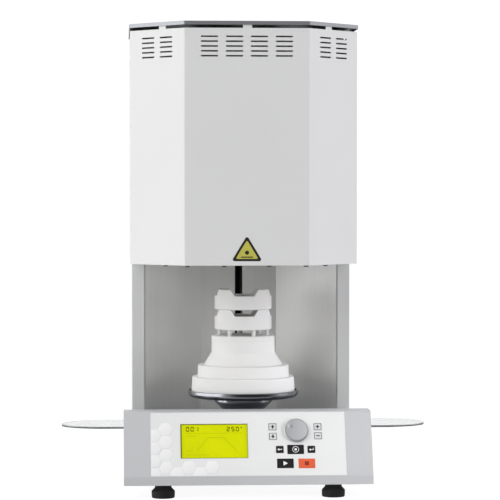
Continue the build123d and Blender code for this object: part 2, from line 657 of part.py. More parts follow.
def tray(z0):
    """Round tray with four tapered notches in the rim."""
    z1 = z0 + TRAY_H
    inner = TRAY_R - TRAY_WALL
    shape = lathe([(0, z0), (TRAY_R - 1.2, z0), (TRAY_R, z0 + 1.2), (TRAY_R, z1), (inner, z1),
                   (inner, z0 + 6.0), (inner - 2.0, z0 + 4.0), (0, z0 + 4.0)])
    shape = round_rim(shape, 0.7)
    top_half, bottom_half, depth, above = 21.2, 14.6, 9.8, 3
    cut_half = top_half + (top_half - bottom_half) / depth * above
    notch = [(-bottom_half, z1 - depth), (bottom_half, z1 - depth),
             (cut_half, z1 + above), (-cut_half, z1 + above)]
    cutter = extrude(Plane.XZ * outline_face(notch), 100, both=True)
    for angle in (0, 90):
        shape = shape - Pos(0, AXIS_Y, 0) * Rot(0, 0, angle) * cutter
    return shape


# ----------------------------------------------------------------- lift mechanism
ROD_X, ROD_Y, ROD_R = 42.0, 126.0, 6.0
SCREW_Y, SCREW_R = 150.0, 6.0
LOWER_Z0, LOWER_Z1 = 50.0, 62.0     # lower rod block
UPPER_Z0, UPPER_Z1 = 350.0, 362.0   # upper rod block
CAR_X = 56.0                        # carriage half width
CAR_Y0, CAR_Y1, CAR_Z0, CAR_Z1 = 104.0, 168.0, 90.0, 150.0
BUSH_R, BUSH_L = 10.5, 26
NUT_R = 11.0
MOTOR_X, MOTOR_HALF, SHAFT_R = 85.0, 21, 2.5
PULLEY_BIG, PULLEY_SMALL = 20.4, 10.2
PULLEY_Z0, PULLEY_Z1, PULLEY_RIM = 33.0, 47.0, 1.5
BELT_T = 1.55
LEVER_T = 0.8
rods = [(side * ROD_X, ROD_Y) for side in SIDES]


def lift_arm():
    arm = mid_box(ARM_W, ARM_FRONT, CAR_Y0, ARM_Z0, ARM_Z1)
    return arm + mid_box(22, CAR_Y0 - 6, CAR_Y0, CAR_Z0 + 2, 138)


def lift_carriage():
    carriage = mid_box(CAR_X, CAR_Y0, CAR_Y1, CAR_Z0, CAR_Z1)
    carriage = fillet(carriage.edges().filter_by(Axis.Z), 4)
    for cutter in holes(rods, CAR_Z0, CAR_Z1, BUSH_R):
        carriage = carriage - cutter
    return carriage - holes([(0, SCREW_Y)], CAR_Z0, CAR_Z1, NUT_R)


def guide_bushes():
    return group(cyl(x, y, z, z + BUSH_L, BUSH_R)
                 - cyl(x, y, z - OVER, z + BUSH_L + OVER, ROD_R + RUN)
                 for x, y in rods for z in (CAR_Z0, CAR_Z1 - BUSH_L))


def lead_nut():
    nut = cyl(0, SCREW_Y, CAR_Z0 - 6, CAR_Z0, 18.0)
    nut = nut + cyl(0, SCREW_Y, CAR_Z0 - 6, CAR_Z0 + 34, NUT_R)
    return nut - cyl(0, SCREW_Y, 50, 160, SCREW_R + RUN)


def guide_rods():
    return group(cyl(x, y, LOWER_Z0, UPPER_Z1, ROD_R) for x, y in rods)


def rod_blocks():
    """Lower block on two legs, upper block with a web in front."""
    x0, x1, y0, y1, leg = -75, 115, 108, 172, 8
    lower = box(x0, x1, y0, y1, LOWER_Z0, LOWER_Z1)
    for leg_x in (x0, x1 - leg):
        lower += box(leg_x, leg_x + leg, y0, y1, PAN_Z1, LOWER_Z0)
    upper = mid_box(60, 68, 168, UPPER_Z0, UPPER_Z1)
    upper = upper + mid_box(60, 68, LINER_Y, FLOOR_Z1, UPPER_Z0)
    for x, y, radius in [(x, y, ROD_R) for x, y in rods] + [(0, SCREW_Y, SCREW_R + RUN)]:
        lower = lower - cyl(x, y, 40, 70, radius)
        upper = upper - cyl(x, y, 340, 370, radius)
    lower = lower - cyl(MOTOR_X, SCREW_Y, 40, 70, 11.2)
    return group([lower, upper])


def lead_screw():
    """Screw with a collar just above the lower block."""
    return (cyl(0, SCREW_Y, 30, UPPER_Z1 + 4, SCREW_R)
            + cyl(0, SCREW_Y, LOWER_Z1 + 0.2, LOWER_Z1 + 5.2, 10.0))


def pulley(x, radius):
    return (cyl(x, SCREW_Y, PULLEY_Z0, PULLEY_Z1, radius)
            + cyl(x, SCREW_Y, PULLEY_Z0, PULLEY_Z0 + PULLEY_RIM, radius + 2)
            + cyl(x, SCREW_Y, PULLEY_Z1 - PULLEY_RIM, PULLEY_Z1, radius + 2))


def screw_pulley():
    return pulley(0, PULLEY_BIG) - cyl(0, SCREW_Y, 30, 49, SCREW_R)


def motor_pulley():
    """One piece with the motor's turning shaft."""
    return pulley(MOTOR_X, PULLEY_SMALL) + cyl(MOTOR_X, SCREW_Y, 40, 75, SHAFT_R)


def belt_body(extra, z0, z1):
    """Solid loop round both pulleys, extra outside their radii."""
    big, small = PULLEY_BIG + extra, PULLEY_SMALL + extra
    angle = math.asin((big - small) / MOTOR_X)
    sin, cos = math.sin(angle), math.cos(angle)
    sides = [(sin * big, SCREW_Y + cos * big), (MOTOR_X + sin * small, SCREW_Y + cos * small),
             (MOTOR_X + sin * small, SCREW_Y - cos * small), (sin * big, SCREW_Y - cos * big)]
    return (prism(sides, z0, z1) + cyl(0, SCREW_Y, z0, z1, big)
            + cyl(MOTOR_X, SCREW_Y, z0, z1, small))


def drive_belt():
    return belt_body(BELT_T, 35.5, 44.5) - belt_body(RUN, 30, 50)


def lift_motor():
    motor = box(MOTOR_X - MOTOR_HALF, MOTOR_X + MOTOR_HALF,
                SCREW_Y - MOTOR_HALF, SCREW_Y + MOTOR_HALF, LOWER_Z1, 110)
    motor = chamfer(motor.edges().filter_by(Axis.Z), 4)
    return (motor + cyl(MOTOR_X, SCREW_Y, LOWER_Z1 - 2, LOWER_Z1, 11.0)
            - cyl(MOTOR_X, SCREW_Y, 55, 78, SHAFT_R + RUN))


def limit_switches():
    """A switch on the lower block, another on a bracket beside the upper one."""
    def lever(tip_x, z, stem_z):
        top = z + LEVER_T
        return box(-66, tip_x, 126, 130, z, top) + box(-66, -65, 126, 130, stem_z, top)

    x0, x1, y0, y1, height = -74, -61, 118, 138, 20
    lower = box(x0, x1, y0, y1, LOWER_Z1, LOWER_Z1 + height)
    lower += lever(-50, 86.6, LOWER_Z1 + height - 1)
    upper = box(x0, x1, y0, y1, UPPER_Z0 - height, UPPER_Z0)
    upper += box(x0, -60, y0, y1, UPPER_Z0, UPPER_Z1)
    upper += lever(x1, 346.6, 345.6)
    return group([lower, upper])


# ----------------------------------------------------------------- shelves
SHELF_X = 281.5             # shelf tip
SHELF_Z0, SHELF_Z1 = 94.0, 97.0
SHELF_Y, SHELF_D = -50.0, 50.2  # middle and half depth
SHELF_END = 70.0            # length of the rounded end
SHELF_ROOT = CAB_W + 2      # inner edge of the full-depth part
TONGUE_X0, TONGUE_X1, TONGUE_D = 140, CAB_W + 3, 86


def shelf_right():
    """Shelf with an elliptical end and a tongue that lies on the deck."""
    end_x = SHELF_X - SHELF_END
    face = (Pos(end_x, SHELF_Y) * Ellipse(SHELF_END, SHELF_D)
            + Pos((SHELF_ROOT + end_x) / 2, SHELF_Y) * Rectangle(end_x - SHELF_ROOT, 2 * SHELF_D))
    face = face - Pos(SHELF_ROOT - 100, SHELF_Y) * Rectangle(200, 200)
    face = face + (Pos((TONGUE_X0 + TONGUE_X1) / 2, SHELF_Y)
                   * Rectangle(TONGUE_X1 - TONGUE_X0, TONGUE_D))
    shelf = Pos(0, 0, SHELF_Z0) * extrude(face, SHELF_Z1 - SHELF_Z0)
    return shelf - holes([(SHELF_SCREW_X, y) for y in SHELF_SCREW_Y], SHELF_Z0, SHELF_Z1)


# ----------------------------------------------------------------- electrics
FAN_Y0, FAN_Y1 = PANEL_Y - 25.4, PANEL_Y
FAN_HALF, FAN_SHAFT_R, BLADES = 46, 2.0, 7
ROCKER_Y, ROCKER_Z = 197.5, 78.0


def transformer():
    """Core with two windows, coils through them, and a foot plate."""
    core = box(-150, -40, -70, 24, 24, 84)
    core = core - box(-128, -98, -71, 25, 40, 68) - box(-92, -62, -71, 25, 40, 68)
    return core + box(-127, -63, -82, 36, 41, 67) + box(-156, -34, -66, 20, PAN_Z1, 24)


def fan_frame():
    frame = box(FAN_X - FAN_HALF, FAN_X + FAN_HALF, FAN_Y0, FAN_Y1,
                FAN_Z - FAN_HALF, FAN_Z + FAN_HALF)
    frame = fillet(frame.edges().filter_by(Axis.Y), 4)
    frame = frame - cyl_y(FAN_X, FAN_Z, FAN_Y0 - OVER, FAN_Y1 + OVER, 43.5)
    spider = cyl_y(FAN_X, FAN_Z, FAN_Y0, FAN_Y0 + 5, 18.0)
    for angle in (45, 135):
        spider += Pos(FAN_X, FAN_Y0 + 2, FAN_Z) * Rot(0, angle, 0) * Box(2 * FAN_HALF, 4, 5)
    return frame + spider - cyl_y(FAN_X, FAN_Z, FAN_Y0 - OVER, FAN_Y0 + 6, FAN_SHAFT_R + RUN)


def fan_impeller():
    impeller = (cyl_y(FAN_X, FAN_Z, FAN_Y0 + 6.0, FAN_Y0 + 22.0, 17.5)
                + cyl_y(FAN_X, FAN_Z, FAN_Y0 + 0.5, FAN_Y0 + 8, FAN_SHAFT_R))
    blade = Pos(29, 0, 0) * Rot(38, 0, 0) * Box(26, 1.6, 17)
    for i in range(BLADES):
        impeller += Pos(FAN_X, FAN_Y0 + 14, FAN_Z) * Rot(0, 360 / BLADES * i, 0) * blade
    return impeller


def power_inlet():
    """Mains inlet and switch housing in one moulding."""
    def inlet_box(half, y0, y1, z0, z1, x=0):
        return box(INLET_X + x - half, INLET_X + x + half, y0, y1, z0, z1)

    inlet = inlet_box(INLET_HALF, 178, BACK_Y, INLET_Z0, INLET_Z1)
    inlet += inlet_box(24, BACK_Y, BACK_Y + 2.3, INLET_Z0 - 4, INLET_Z1 + 4)
    # socket with three pins
    inlet = inlet - inlet_box(12.5, 185, 210, 42, 59)
    for x, z in ((-7, 52.5), (7, 52.5), (0, 47.5)):
        inlet += inlet_box(1, 184, 200, z - 2, z + 2, x)
    # rocker pocket and its pivot holes
    inlet = inlet - inlet_box(10.4, 190, 210, ROCKER_Z - 7.9, ROCKER_Z + 7.9)
    inlet = inlet - cyl_x(ROCKER_Y, ROCKER_Z, INLET_X - 13, INLET_X + 13, 1.25)
    # two tabs at the inner end
    for x in (-12, 12):
        inlet += inlet_box(3, 170, 178, 60, 62, x)
    return inlet


def main_switch_rocker():
    profile = [(-4, -6.4), (3.4, -6.9), (2.0, 0), (3.4, 6.9), (-4, 6.4)]    # y, z
    rocker = prism_x(profile, -10.1, 10.1) + (Rot(0, 90, 0) * Cylinder(1.2, 25.4))
    return Pos(INLET_X, ROCKER_Y, ROCKER_Z) * Rot(8, 0, 0) * rocker


# ----------------------------------------------------------------- fasteners
def screw(position, direction, length=SHANK_L):
    """Cross-slotted screw: its head seats at position, its shank runs in direction."""
    head = Pos(0, 0, -HEAD_H) * extrude(Circle(HEAD_R), HEAD_H)
    head = fillet(head.edges().group_by(Axis.Z)[0], 1.3)
    body = head + cyl(0, 0, 0, length, SHANK_R)
    for size in ((4.2, 0.9), (0.9, 4.2)):
        body = body - (Pos(0, 0, -HEAD_H + 0.6) * Box(*size, 1.4))
    return Plane(origin=position, z_dir=direction).location * body


def panel_screws():
    forward, up = (0, -1, 0), (0, 0, 1)
    screws = [screw((side * REAR_SCREW_X, BACK_Y, z), forward)
              for side in SIDES for z in CABINET_SCREW_Z + HOOD_SCREW_Z]
    screws += [screw((x, y, HOOD_Z0), up) for x, y in hood_screws]
    screws += [screw((x, y, DECK_Z0), up, 4.7) for x, y in shelf_screws]
    screws += [screw((x, y, FOOT_SEAT), up) for x, y in foot_points]
    return group(screws)


# ----------------------------------------------------------------- export
# each of these pieces is written under its function's name
for build in (
    hood_shell, lid_plate, hood_floor, rear_panel, recess_liner, deck_plate, base_pan,
    rubber_feet, console_shell, control_overlay, display_window, display_module, dial_knob,
    control_board, insulation_throat, insulation_wall, insulation_roof, heating_elements,
    element_terminals, thermocouple, lift_dish, lift_hub, plug_base_ring, plug_step_ring,
    plug_cone, plug_top_disc, tray_posts, lift_arm, lift_carriage, guide_bushes, lead_nut,
    guide_rods, rod_blocks, lead_screw, screw_pulley, motor_pulley, drive_belt, lift_motor,
    limit_switches, transformer, fan_frame, fan_impeller, power_inlet, main_switch_rocker,
    panel_screws,
):
    write(build.__name__, build())

for name, build in (("side_panel", side_panel_right), ("shelf", shelf_right)):
    right = build()
    write(name + "_right", right)
    write(name + "_left", mirror(right, Plane.YZ))

for name, place in KEYS.items():
    write(name, key(*place))

write("lower_tray", tray(POST_Z1))
write("upper_tray", tray(POST_Z1 + TRAY_H))
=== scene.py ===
# A benchtop furnace. A cabinet on four rubber feet carries a hood, and a sloping console with
# a display, keys and a dial. A lift carries a dish, a stepped ceramic plug, posts and two trays.
# Frame: metres, +z up, feet on z = 0, x across, the console facing -y.
# The shapes below are measured in millimetres and turned into metres by MM.
import bpy
import bmesh
import json
import math
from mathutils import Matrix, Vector


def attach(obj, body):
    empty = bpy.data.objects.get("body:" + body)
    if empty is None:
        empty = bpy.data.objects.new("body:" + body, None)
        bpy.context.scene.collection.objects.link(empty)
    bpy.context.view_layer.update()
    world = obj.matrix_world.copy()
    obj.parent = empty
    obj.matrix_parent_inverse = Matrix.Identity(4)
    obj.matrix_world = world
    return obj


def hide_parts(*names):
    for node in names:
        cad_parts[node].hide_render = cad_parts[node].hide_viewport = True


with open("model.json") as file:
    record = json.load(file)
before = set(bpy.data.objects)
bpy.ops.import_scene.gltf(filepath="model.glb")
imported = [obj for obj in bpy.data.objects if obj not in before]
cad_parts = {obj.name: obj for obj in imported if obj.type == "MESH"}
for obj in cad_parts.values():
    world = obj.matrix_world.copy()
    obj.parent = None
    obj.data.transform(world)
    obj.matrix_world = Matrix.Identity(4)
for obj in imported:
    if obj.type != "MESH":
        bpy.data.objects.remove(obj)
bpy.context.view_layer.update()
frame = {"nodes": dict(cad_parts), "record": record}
scene = bpy.context.scene
MM = 0.001

# upright axes of the round pieces: all at x = 0
LOAD_Y = -39.2
LOAD_AXIS = (0, LOAD_Y * MM, 0)
ROD_AXIS = (0, 0.126, 0)
SCREW_AXIS = (0, 0.150, 0)

CABINET, LIFT = "cabinet", "lift"


# ------------------------------------------------------------------ shader graphs
class Graph:
    """Builds the nodes of one shader tree."""

    def __init__(self, tree):
        self.tree = tree
        tree.nodes.clear()

    def put(self, socket, value):
        """Link a socket or set a value; a colour may come without its alpha."""
        if isinstance(value, bpy.types.NodeSocket):
            self.tree.links.new(value, socket)
        elif isinstance(value, tuple) and len(value) == 3 and socket.type == "RGBA":
            socket.default_value = (*value, 1)
        else:
            socket.default_value = value

    def node(self, kind, inputs=None, **properties):
        """A node with its properties, and inputs given by name or index."""
        node = self.tree.nodes.new("ShaderNode" + kind)
        for key, value in properties.items():
            setattr(node, key, value)
        for key, value in (inputs or {}).items():
            self.put(node.inputs[key], value)
        return node

    def remap(self, value, span, to=(0.0, 1.0), smooth=False):
        """Map the range span onto the range to."""
        inputs = {"Value": value, "From Min": span[0], "From Max": span[1],
                  "To Min": to[0], "To Max": to[1]}
        kind = "SMOOTHSTEP" if smooth else "LINEAR"
        return self.node("MapRange", inputs, interpolation_type=kind).outputs["Result"]

    def mix(self, factor, a, b):
        inputs = {"Factor": factor, "A": a, "B": b}
        return self.node("Mix", inputs, data_type="RGBA").outputs["Result"]

    def vector(self, operation, a, b):
        node = self.node("VectorMath", {0: a, 1: b}, operation=operation)
        return node.outputs["Value" if operation == "DOT_PRODUCT" else "Vector"]

    def either(self, a, b):
        """1 where one of two ray flags is set."""
        return self.node("Math", {0: a, 1: b}, operation="MAXIMUM").outputs[0]

    def mix_shader(self, factor, a, b):
        return self.node("MixShader", {0: factor, 1: a, 2: b}).outputs[0]


MATERIALS = {}

SOCKETS = {"color": "Base Color", "rough": "Roughness", "metal": "Metallic",
           "spec": "Specular IOR Level", "coat": "Coat Weight", "coat_rough": "Coat Roughness",
           "aniso": "Anisotropic", "trans": "Transmission Weight", "ior": "IOR",
           "emit": "Emission Color", "emit_s": "Emission Strength", "normal": "Normal",
           "sss": "Subsurface Weight", "sss_scale": "Subsurface Scale", "tangent": "Tangent"}


class Material(Graph):
    """One procedural material, patterned in object coordinates."""

    def __init__(self, name):
        material = bpy.data.materials.new(name)
        material.use_nodes = True
        super().__init__(material.node_tree)
        self.output = self.node("OutputMaterial")
        self.coords = self.node("TexCoord").outputs["Object"]
        MATERIALS[name] = material

    def surface(self, shader):
        self.put(self.output.inputs["Surface"], shader)

    def principled(self, **values):
        inputs = {SOCKETS[key]: value for key, value in values.items()}
        self.bsdf = self.node("BsdfPrincipled", inputs)
        self.surface(self.bsdf.outputs[0])

    def scaled(self, scale):
        scale = scale if isinstance(scale, tuple) else (scale, scale, scale)
        return self.node("Mapping", {"Vector": self.coords, "Scale": scale}).outputs[0]

    def noise(self, scale=1.0, detail=2.0, rough=0.5, distortion=0.0, vector=None):
        """Cloud noise; scale is in features per metre unless a vector is given."""
        inputs = {"Scale": 1.0, "Detail": detail, "Roughness": rough, "Distortion": distortion,
                  "Vector": vector or self.scaled(scale)}
        return self.node("TexNoise", inputs).outputs["Fac"]

    def voronoi(self, scale):
        inputs = {"Scale": 1.0, "Vector": self.scaled(scale)}
        return self.node("TexVoronoi", inputs).outputs["Distance"]

    def math(self, operation, a, b=0.0):
        return self.node("Math", {0: a, 1: b, 2: 0.0}, operation=operation).outputs[0]

    def add(self, a, b):
        return self.math("ADD", a, b)

    def mul(self, a, b):
        return self.math("MULTIPLY", a, b)

    def axes(self, vector):
        return self.node("SeparateXYZ", {0: vector}).outputs

    def bevel(self, radius):
        """A normal rounded at the edges, or None for a radius of 0."""
        if not radius:
            return None
        return self.node("Bevel", {"Radius": radius}, samples=4).outputs[0]

    def bump(self, height, strength, distance, normal=None):
        inputs = {"Strength": strength, "Distance": distance, "Height": height}
        if normal is not None:
            inputs["Normal"] = normal
        return self.node("Bump", inputs).outputs[0]

    def vertex_shade(self):
        """The shade stored at each vertex, 0 dark to 1 pale."""
        node = self.node("Attribute", attribute_name="shade", attribute_type="GEOMETRY")
        return node.outputs["Fac"]


def times(values, factor):
    return tuple(value * factor for value in values)


def linear(*display):
    """0-255 display colour to linear."""
    def channel(value):
        value = value / 255.0
        return value / 12.92 if value <= 0.04045 else ((value + 0.055) / 1.055) ** 2.4
    return tuple(channel(value) for value in display)


# ------------------------------------------------------------------ families of materials
def paint(name, colour, rough, peel, coat, inner):
    """Sprayed paint with orange peel; inner is a painted shade, the dark colour given to the faces
    that look inwards into the casing.
    """
    m = Material(name)
    broad = m.noise(scale=5.0, detail=3)
    fine = m.noise(scale=1400.0)
    speck = m.noise(scale=420.0, detail=3, rough=0.6)
    smudge = m.noise(scale=(9.0, 9.0, 5.0), detail=5, rough=0.62, distortion=0.6)
    shade = m.mix(m.remap(broad, span=(0.3, 0.7)), times(colour, 0.975), colour)
    shade = m.mix(m.remap(speck, span=(0.45, 0.75), to=(0.0, 0.16)), shade, times(colour, 0.90))
    # painted shade: faces that look into the casing, where shade falls, are mixed to the dark inner
    # colour
    if inner is not None:
        casing_middle = (0, 0.03, 0.5)
        outward = m.vector("SUBTRACT", m.coords, casing_middle)
        outward = m.vector("MULTIPLY", outward, (1, 1, 0))
        normal = m.node("VectorTransform", {0: m.node("NewGeometry").outputs["Normal"]},
                        vector_type="NORMAL", convert_from="WORLD", convert_to="OBJECT")
        facing = m.vector("DOT_PRODUCT", outward, normal.outputs[0])
        shade = m.mix(m.remap(facing, span=(-0.004, -0.006)), shade, inner)
    height = m.add(m.mul(fine, 0.35), m.noise(scale=620.0))
    m.principled(
        color=shade, coat=coat, coat_rough=0.25, spec=0.45,
        rough=m.remap(smudge, span=(0.35, 0.7), to=(rough - 0.05, rough + 0.07)),
        normal=m.bump(height, strength=peel, distance=0.0003, normal=m.bevel(radius=0.0006)))


def steel(name, colour, rough, grain, strength, aniso, bevel, metal):
    """Brushed or rolled metal; grain is the noise scale along x, y, z."""
    m = Material(name)
    coarse = m.noise(scale=grain, detail=3, rough=0.65)
    fine = m.noise(scale=times(grain, 2.7))
    brushed = m.add(m.mul(coarse, 0.65), m.mul(fine, 0.35))
    cloud = m.noise(scale=14.0, detail=4, rough=0.6)
    shade = m.mix(m.remap(brushed, span=(0.3, 0.7)), times(colour, 0.9), colour)
    shade = m.mix(m.remap(cloud, span=(0.35, 0.75), to=(0.0, 0.35)), shade, times(colour, 0.93))
    fine_rough = m.remap(brushed, span=(0.25, 0.75), to=(rough - 0.05, rough + 0.05))
    broad_rough = m.remap(cloud, span=(0.3, 0.7), to=(-0.04, 0.04))
    stretch = {}
    if aniso:
        tangent = m.node("Tangent", direction_type="RADIAL", axis="Z")
        stretch = {"aniso": aniso, "tangent": tangent.outputs[0]}
    m.principled(
        color=shade, metal=metal, rough=m.add(fine_rough, broad_rough),
        normal=m.bump(brushed, strength=strength, distance=0.0002, normal=m.bevel(bevel)),
        **stretch)


def turned(name, colour, rough, axis, ring_rate=5720.0, strength=0.05):
    """Lathe-turned metal: fine rings about an upright axis and a few scratches."""
    m = Material(name)
    x, y, z = m.axes(m.vector("SUBTRACT", m.coords, axis))
    radius = m.math("SQRT", m.add(m.mul(x, x), m.mul(y, y)))
    ring = m.math("SINE", m.mul(m.add(radius, z), ring_rate))
    # noise over radius and height only, so that it runs round the axis
    section = m.node("CombineXYZ", {0: m.mul(radius, 900.0), 1: m.mul(z, 900.0)})
    uneven = m.noise(detail=3, rough=0.6, vector=section.outputs[0])
    scratch = m.noise(scale=(160.0, 160.0, 900.0), detail=4, rough=0.7, distortion=1.2)
    tool_rough = m.remap(uneven, span=(0.3, 0.7), to=(rough - 0.02, rough + 0.03))
    scratch_rough = m.remap(scratch, span=(0.62, 0.8), to=(0.0, 0.12))
    m.principled(
        color=m.mix(m.remap(uneven, span=(0.3, 0.75)), times(colour, 0.9), colour),
        metal=1.0, rough=m.add(tool_rough, scratch_rough),
        normal=m.bump(m.add(m.mul(ring, 0.3), m.mul(uneven, 0.9)),
                      strength=strength, distance=0.0001))
    return m


def plastic(name, colour, rough, grain, strength, tone, coat):
    """Moulded or printed plastic; tone is how far the colour drifts."""
    m = Material(name)
    cloud = m.noise(scale=30.0, detail=4, rough=0.6)
    height = m.add(m.voronoi(grain), m.mul(m.noise(scale=grain * 0.6), 0.5))
    m.principled(
        color=m.mix(m.remap(cloud, span=(0.3, 0.7)),
                    times(colour, 1 - tone), times(colour, 1 + tone * 0.5)),
        rough=m.remap(cloud, span=(0.3, 0.7), to=(rough - 0.05, rough + 0.06)),
        coat=coat, coat_rough=0.12,
        normal=m.bump(height, strength=strength, distance=0.00015,
                      normal=m.bevel(radius=0.0003)))


def ceramic(name, colour, rough, pores, sss):
    """Porous ceramic; pores is the bump strength."""
    m = Material(name)
    grain = m.noise(scale=1900.0, detail=3, rough=0.6)
    medium = m.noise(scale=260.0, detail=4, rough=0.6)
    cloud = m.noise(scale=22.0, detail=4, rough=0.55)
    pits = m.remap(m.voronoi(900.0), span=(0.10, 0.22))
    warm = tuple(a * b for a, b in zip(colour, (0.97, 0.95, 0.90)))
    shade = m.mix(m.remap(cloud, span=(0.35, 0.75), to=(0, 0.5)), colour, warm)
    shade = m.mix(m.remap(grain, span=(0.35, 0.7), to=(0.0, 0.5)), shade, times(colour, 0.965))
    shade = m.mix(m.mul(m.math("SUBTRACT", 1.0, pits), 0.25), shade, times(colour, 0.86))
    height = m.add(m.mul(pits, 0.5), m.add(m.mul(grain, 0.5), m.mul(medium, 0.6)))
    m.principled(
        color=shade, sss=sss, sss_scale=0.004, spec=0.35,
        rough=m.remap(medium, span=(0.3, 0.7), to=(rough - 0.06, rough + 0.08)),
        normal=m.bump(height, strength=pores, distance=0.00018))
    m.bsdf.subsurface_method = "BURLEY"


PAINTS = [  # name, colour, roughness, peel strength, coat, painted shade of the faces that look inwards
    ("hood_paint", (0.785, 0.788, 0.788), 0.40, 0.05, 0.15, (0.035, 0.035, 0.037)),
    ("column_paint", (0.74, 0.745, 0.745), 0.42, 0.05, 0.15, (0.10, 0.10, 0.10)),
    ("rear_paint", (0.62, 0.63, 0.64), 0.45, 0.07, 0.15, None),
    ("console_paint", (0.572, 0.577, 0.592), 0.40, 0.05, 0.1, None),
]
STEELS = [  # name, colour, roughness, grain, bump strength, anisotropy, edge radius (m), metallic
    ("lid_steel", (0.47, 0.48, 0.51), 0.33, (8.0, 1200.0, 1200.0), 0.05, 0.0, 0.0006, 0.62),
    ("sheet_steel", (0.52, 0.53, 0.54), 0.42, (300.0, 300.0, 300.0), 0.10, 0.0, 0.0, 1.0),
    ("liner_steel", (0.93, 0.93, 0.915), 0.42, (1300.0, 1300.0, 5.0), 0.10, 0.45, 0.0, 0.48),
    ("deck_steel", (0.74, 0.74, 0.74), 0.42, (9.0, 1100.0, 1100.0), 0.10, 0.0, 0.0, 0.5),
    ("screw_head", (0.16, 0.16, 0.17), 0.32, (900.0, 900.0, 900.0), 0.08, 0.0, 0.0, 1.0),
    ("lift_alu", (0.62, 0.63, 0.64), 0.36, (14.0, 1100.0, 1100.0), 0.12, 0.0, 0.0006, 1.0),
    ("terminal_alu", (0.66, 0.66, 0.67), 0.38, (900.0, 900.0, 60.0), 0.12, 0.0, 0.0005, 1.0),
]
PLASTICS = [  # name, colour, roughness, grain, bump strength, tone, coat
    ("foot_rubber", (0.009, 0.009, 0.0095), 0.72, 700.0, 0.25, 0.25, 0.0),
    ("belt_rubber", (0.02, 0.02, 0.02), 0.75, 900.0, 0.3, 0.06, 0.0),
    ("motor_black", (0.025, 0.025, 0.028), 0.42, 1500.0, 0.12, 0.06, 0.0),
    ("inlet_black", (0.02, 0.02, 0.022), 0.45, 1500.0, 0.16, 0.06, 0.0),
    ("rocker_black", (0.022, 0.022, 0.024), 0.22, 2000.0, 0.03, 0.06, 0.4),
    ("key_black", (0.016, 0.013, 0.014), 0.42, 2200.0, 0.06, 0.06, 0.0),
    ("key_grey", (0.70, 0.705, 0.71), 0.5, 2200.0, 0.06, 0.06, 0.0),
    ("key_orange", (0.80, 0.125, 0.045), 0.45, 2200.0, 0.06, 0.06, 0.0),
    ("key_line", (0.13, 0.13, 0.14), 0.5, 2200.0, 0.04, 0.06, 0.0),
    ("ink_black", (0.02, 0.02, 0.022), 0.5, 2600.0, 0.04, 0.06, 0.0),
    ("ink_white", (0.86, 0.86, 0.86), 0.5, 2600.0, 0.04, 0.06, 0.0),
    ("ink_red", (0.30, 0.03, 0.012), 0.5, 2600.0, 0.04, 0.06, 0.0),
    ("badge_yellow", (0.56, 0.53, 0.085), 0.38, 2600.0, 0.04, 0.06, 0.0),
    ("overlay_film", (0.815, 0.82, 0.815), 0.36, 2400.0, 0.09, 0.012, 0.08),
]
CERAMICS = [  # name, colour, roughness, pore strength, subsurface weight
    ("plug_ceramic", (0.825, 0.825, 0.825), 0.62, 0.35, 0.06),
    ("tray_ceramic", (0.815, 0.815, 0.815), 0.55, 0.22, 0.22),
    ("element_dark", (0.10, 0.095, 0.095), 0.5, 0.35, 0.06),
]
for family, rows in ((paint, PAINTS), (steel, STEELS), (plastic, PLASTICS), (ceramic, CERAMICS)):
    for row in rows:
        family(*row)

turned("hub_dark", (0.15, 0.16, 0.19), rough=0.25, axis=LOAD_AXIS)
turned("rod_steel", (0.72, 0.72, 0.73), rough=0.12, axis=ROD_AXIS)
turned("screw_black", (0.06, 0.06, 0.065), rough=0.35, axis=SCREW_AXIS,
       ring_rate=2763.2, strength=0.25)
turned("bush_bronze", (0.62, 0.43, 0.20), rough=0.30, axis=SCREW_AXIS)


# ------------------------------------------------------------------ single materials
def dish_steel():
    """Turned steel with painted reflections: darker towards +x and in a band low on the rim,
    standing for the dark surroundings the rim mirrors.
    """
    m = turned("dish_steel", (0.50, 0.51, 0.54), rough=0.10, axis=LOAD_AXIS)
    z = m.axes(m.coords)[2]
    # painted reflection: a dark band low on the rim, just above the flange
    painted_reflection_band = m.mul(m.remap(z, span=(0.1405, 0.1425), to=(1.0, 0.0), smooth=True),
                 m.remap(z, span=(0.1368, 0.1372)))
    # painted reflection: the steel darkens towards +x
    side = m.remap(m.axes(m.coords)[0], span=(-0.035, 0.030), to=(0.0, 0.62), smooth=True)
    base_colour = m.bsdf.inputs["Base Color"]
    shade = m.mix(side, base_colour.links[0].from_socket, (0.16, 0.165, 0.185))
    m.put(base_colour, m.mix(painted_reflection_band, shade, (0.060, 0.064, 0.078)))


def insulation_white():
    """Matted fibres running along z and along x."""
    colour = (0.88, 0.87, 0.83)
    m = Material("insulation_white")
    upright = m.noise(scale=(700.0, 700.0, 90.0), detail=4, rough=0.7, distortion=2.5)
    across = m.noise(scale=(90.0, 700.0, 700.0), detail=4, rough=0.7, distortion=2.5)
    fibres = m.math("MAXIMUM", upright, across)
    cloud = m.noise(scale=30.0, detail=4)
    shade = m.mix(m.remap(fibres, span=(0.4, 0.8)), times(colour, 0.84), colour)
    warm = (colour[0] * 0.95, colour[1] * 0.9, colour[2] * 0.8)
    shade = m.mix(m.remap(cloud, span=(0.3, 0.8), to=(0, 0.4)), shade, warm)
    m.principled(color=shade, rough=0.95, spec=0.1,
                 normal=m.bump(fibres, strength=0.6, distance=0.0006))


def board_green():
    """Green solder mask with a faint copper pattern."""
    m = Material("board_green")
    tracks = m.node("TexBrick", {"Scale": 1.0, "Mortar Size": 0.03, "Vector": m.scaled(260.0)})
    tracks = tracks.outputs["Fac"]
    m.principled(color=m.mix(tracks, (0.012, 0.12, 0.045), (0.02, 0.20, 0.08)), rough=0.35,
                 normal=m.bump(tracks, strength=0.2, distance=0.0001))


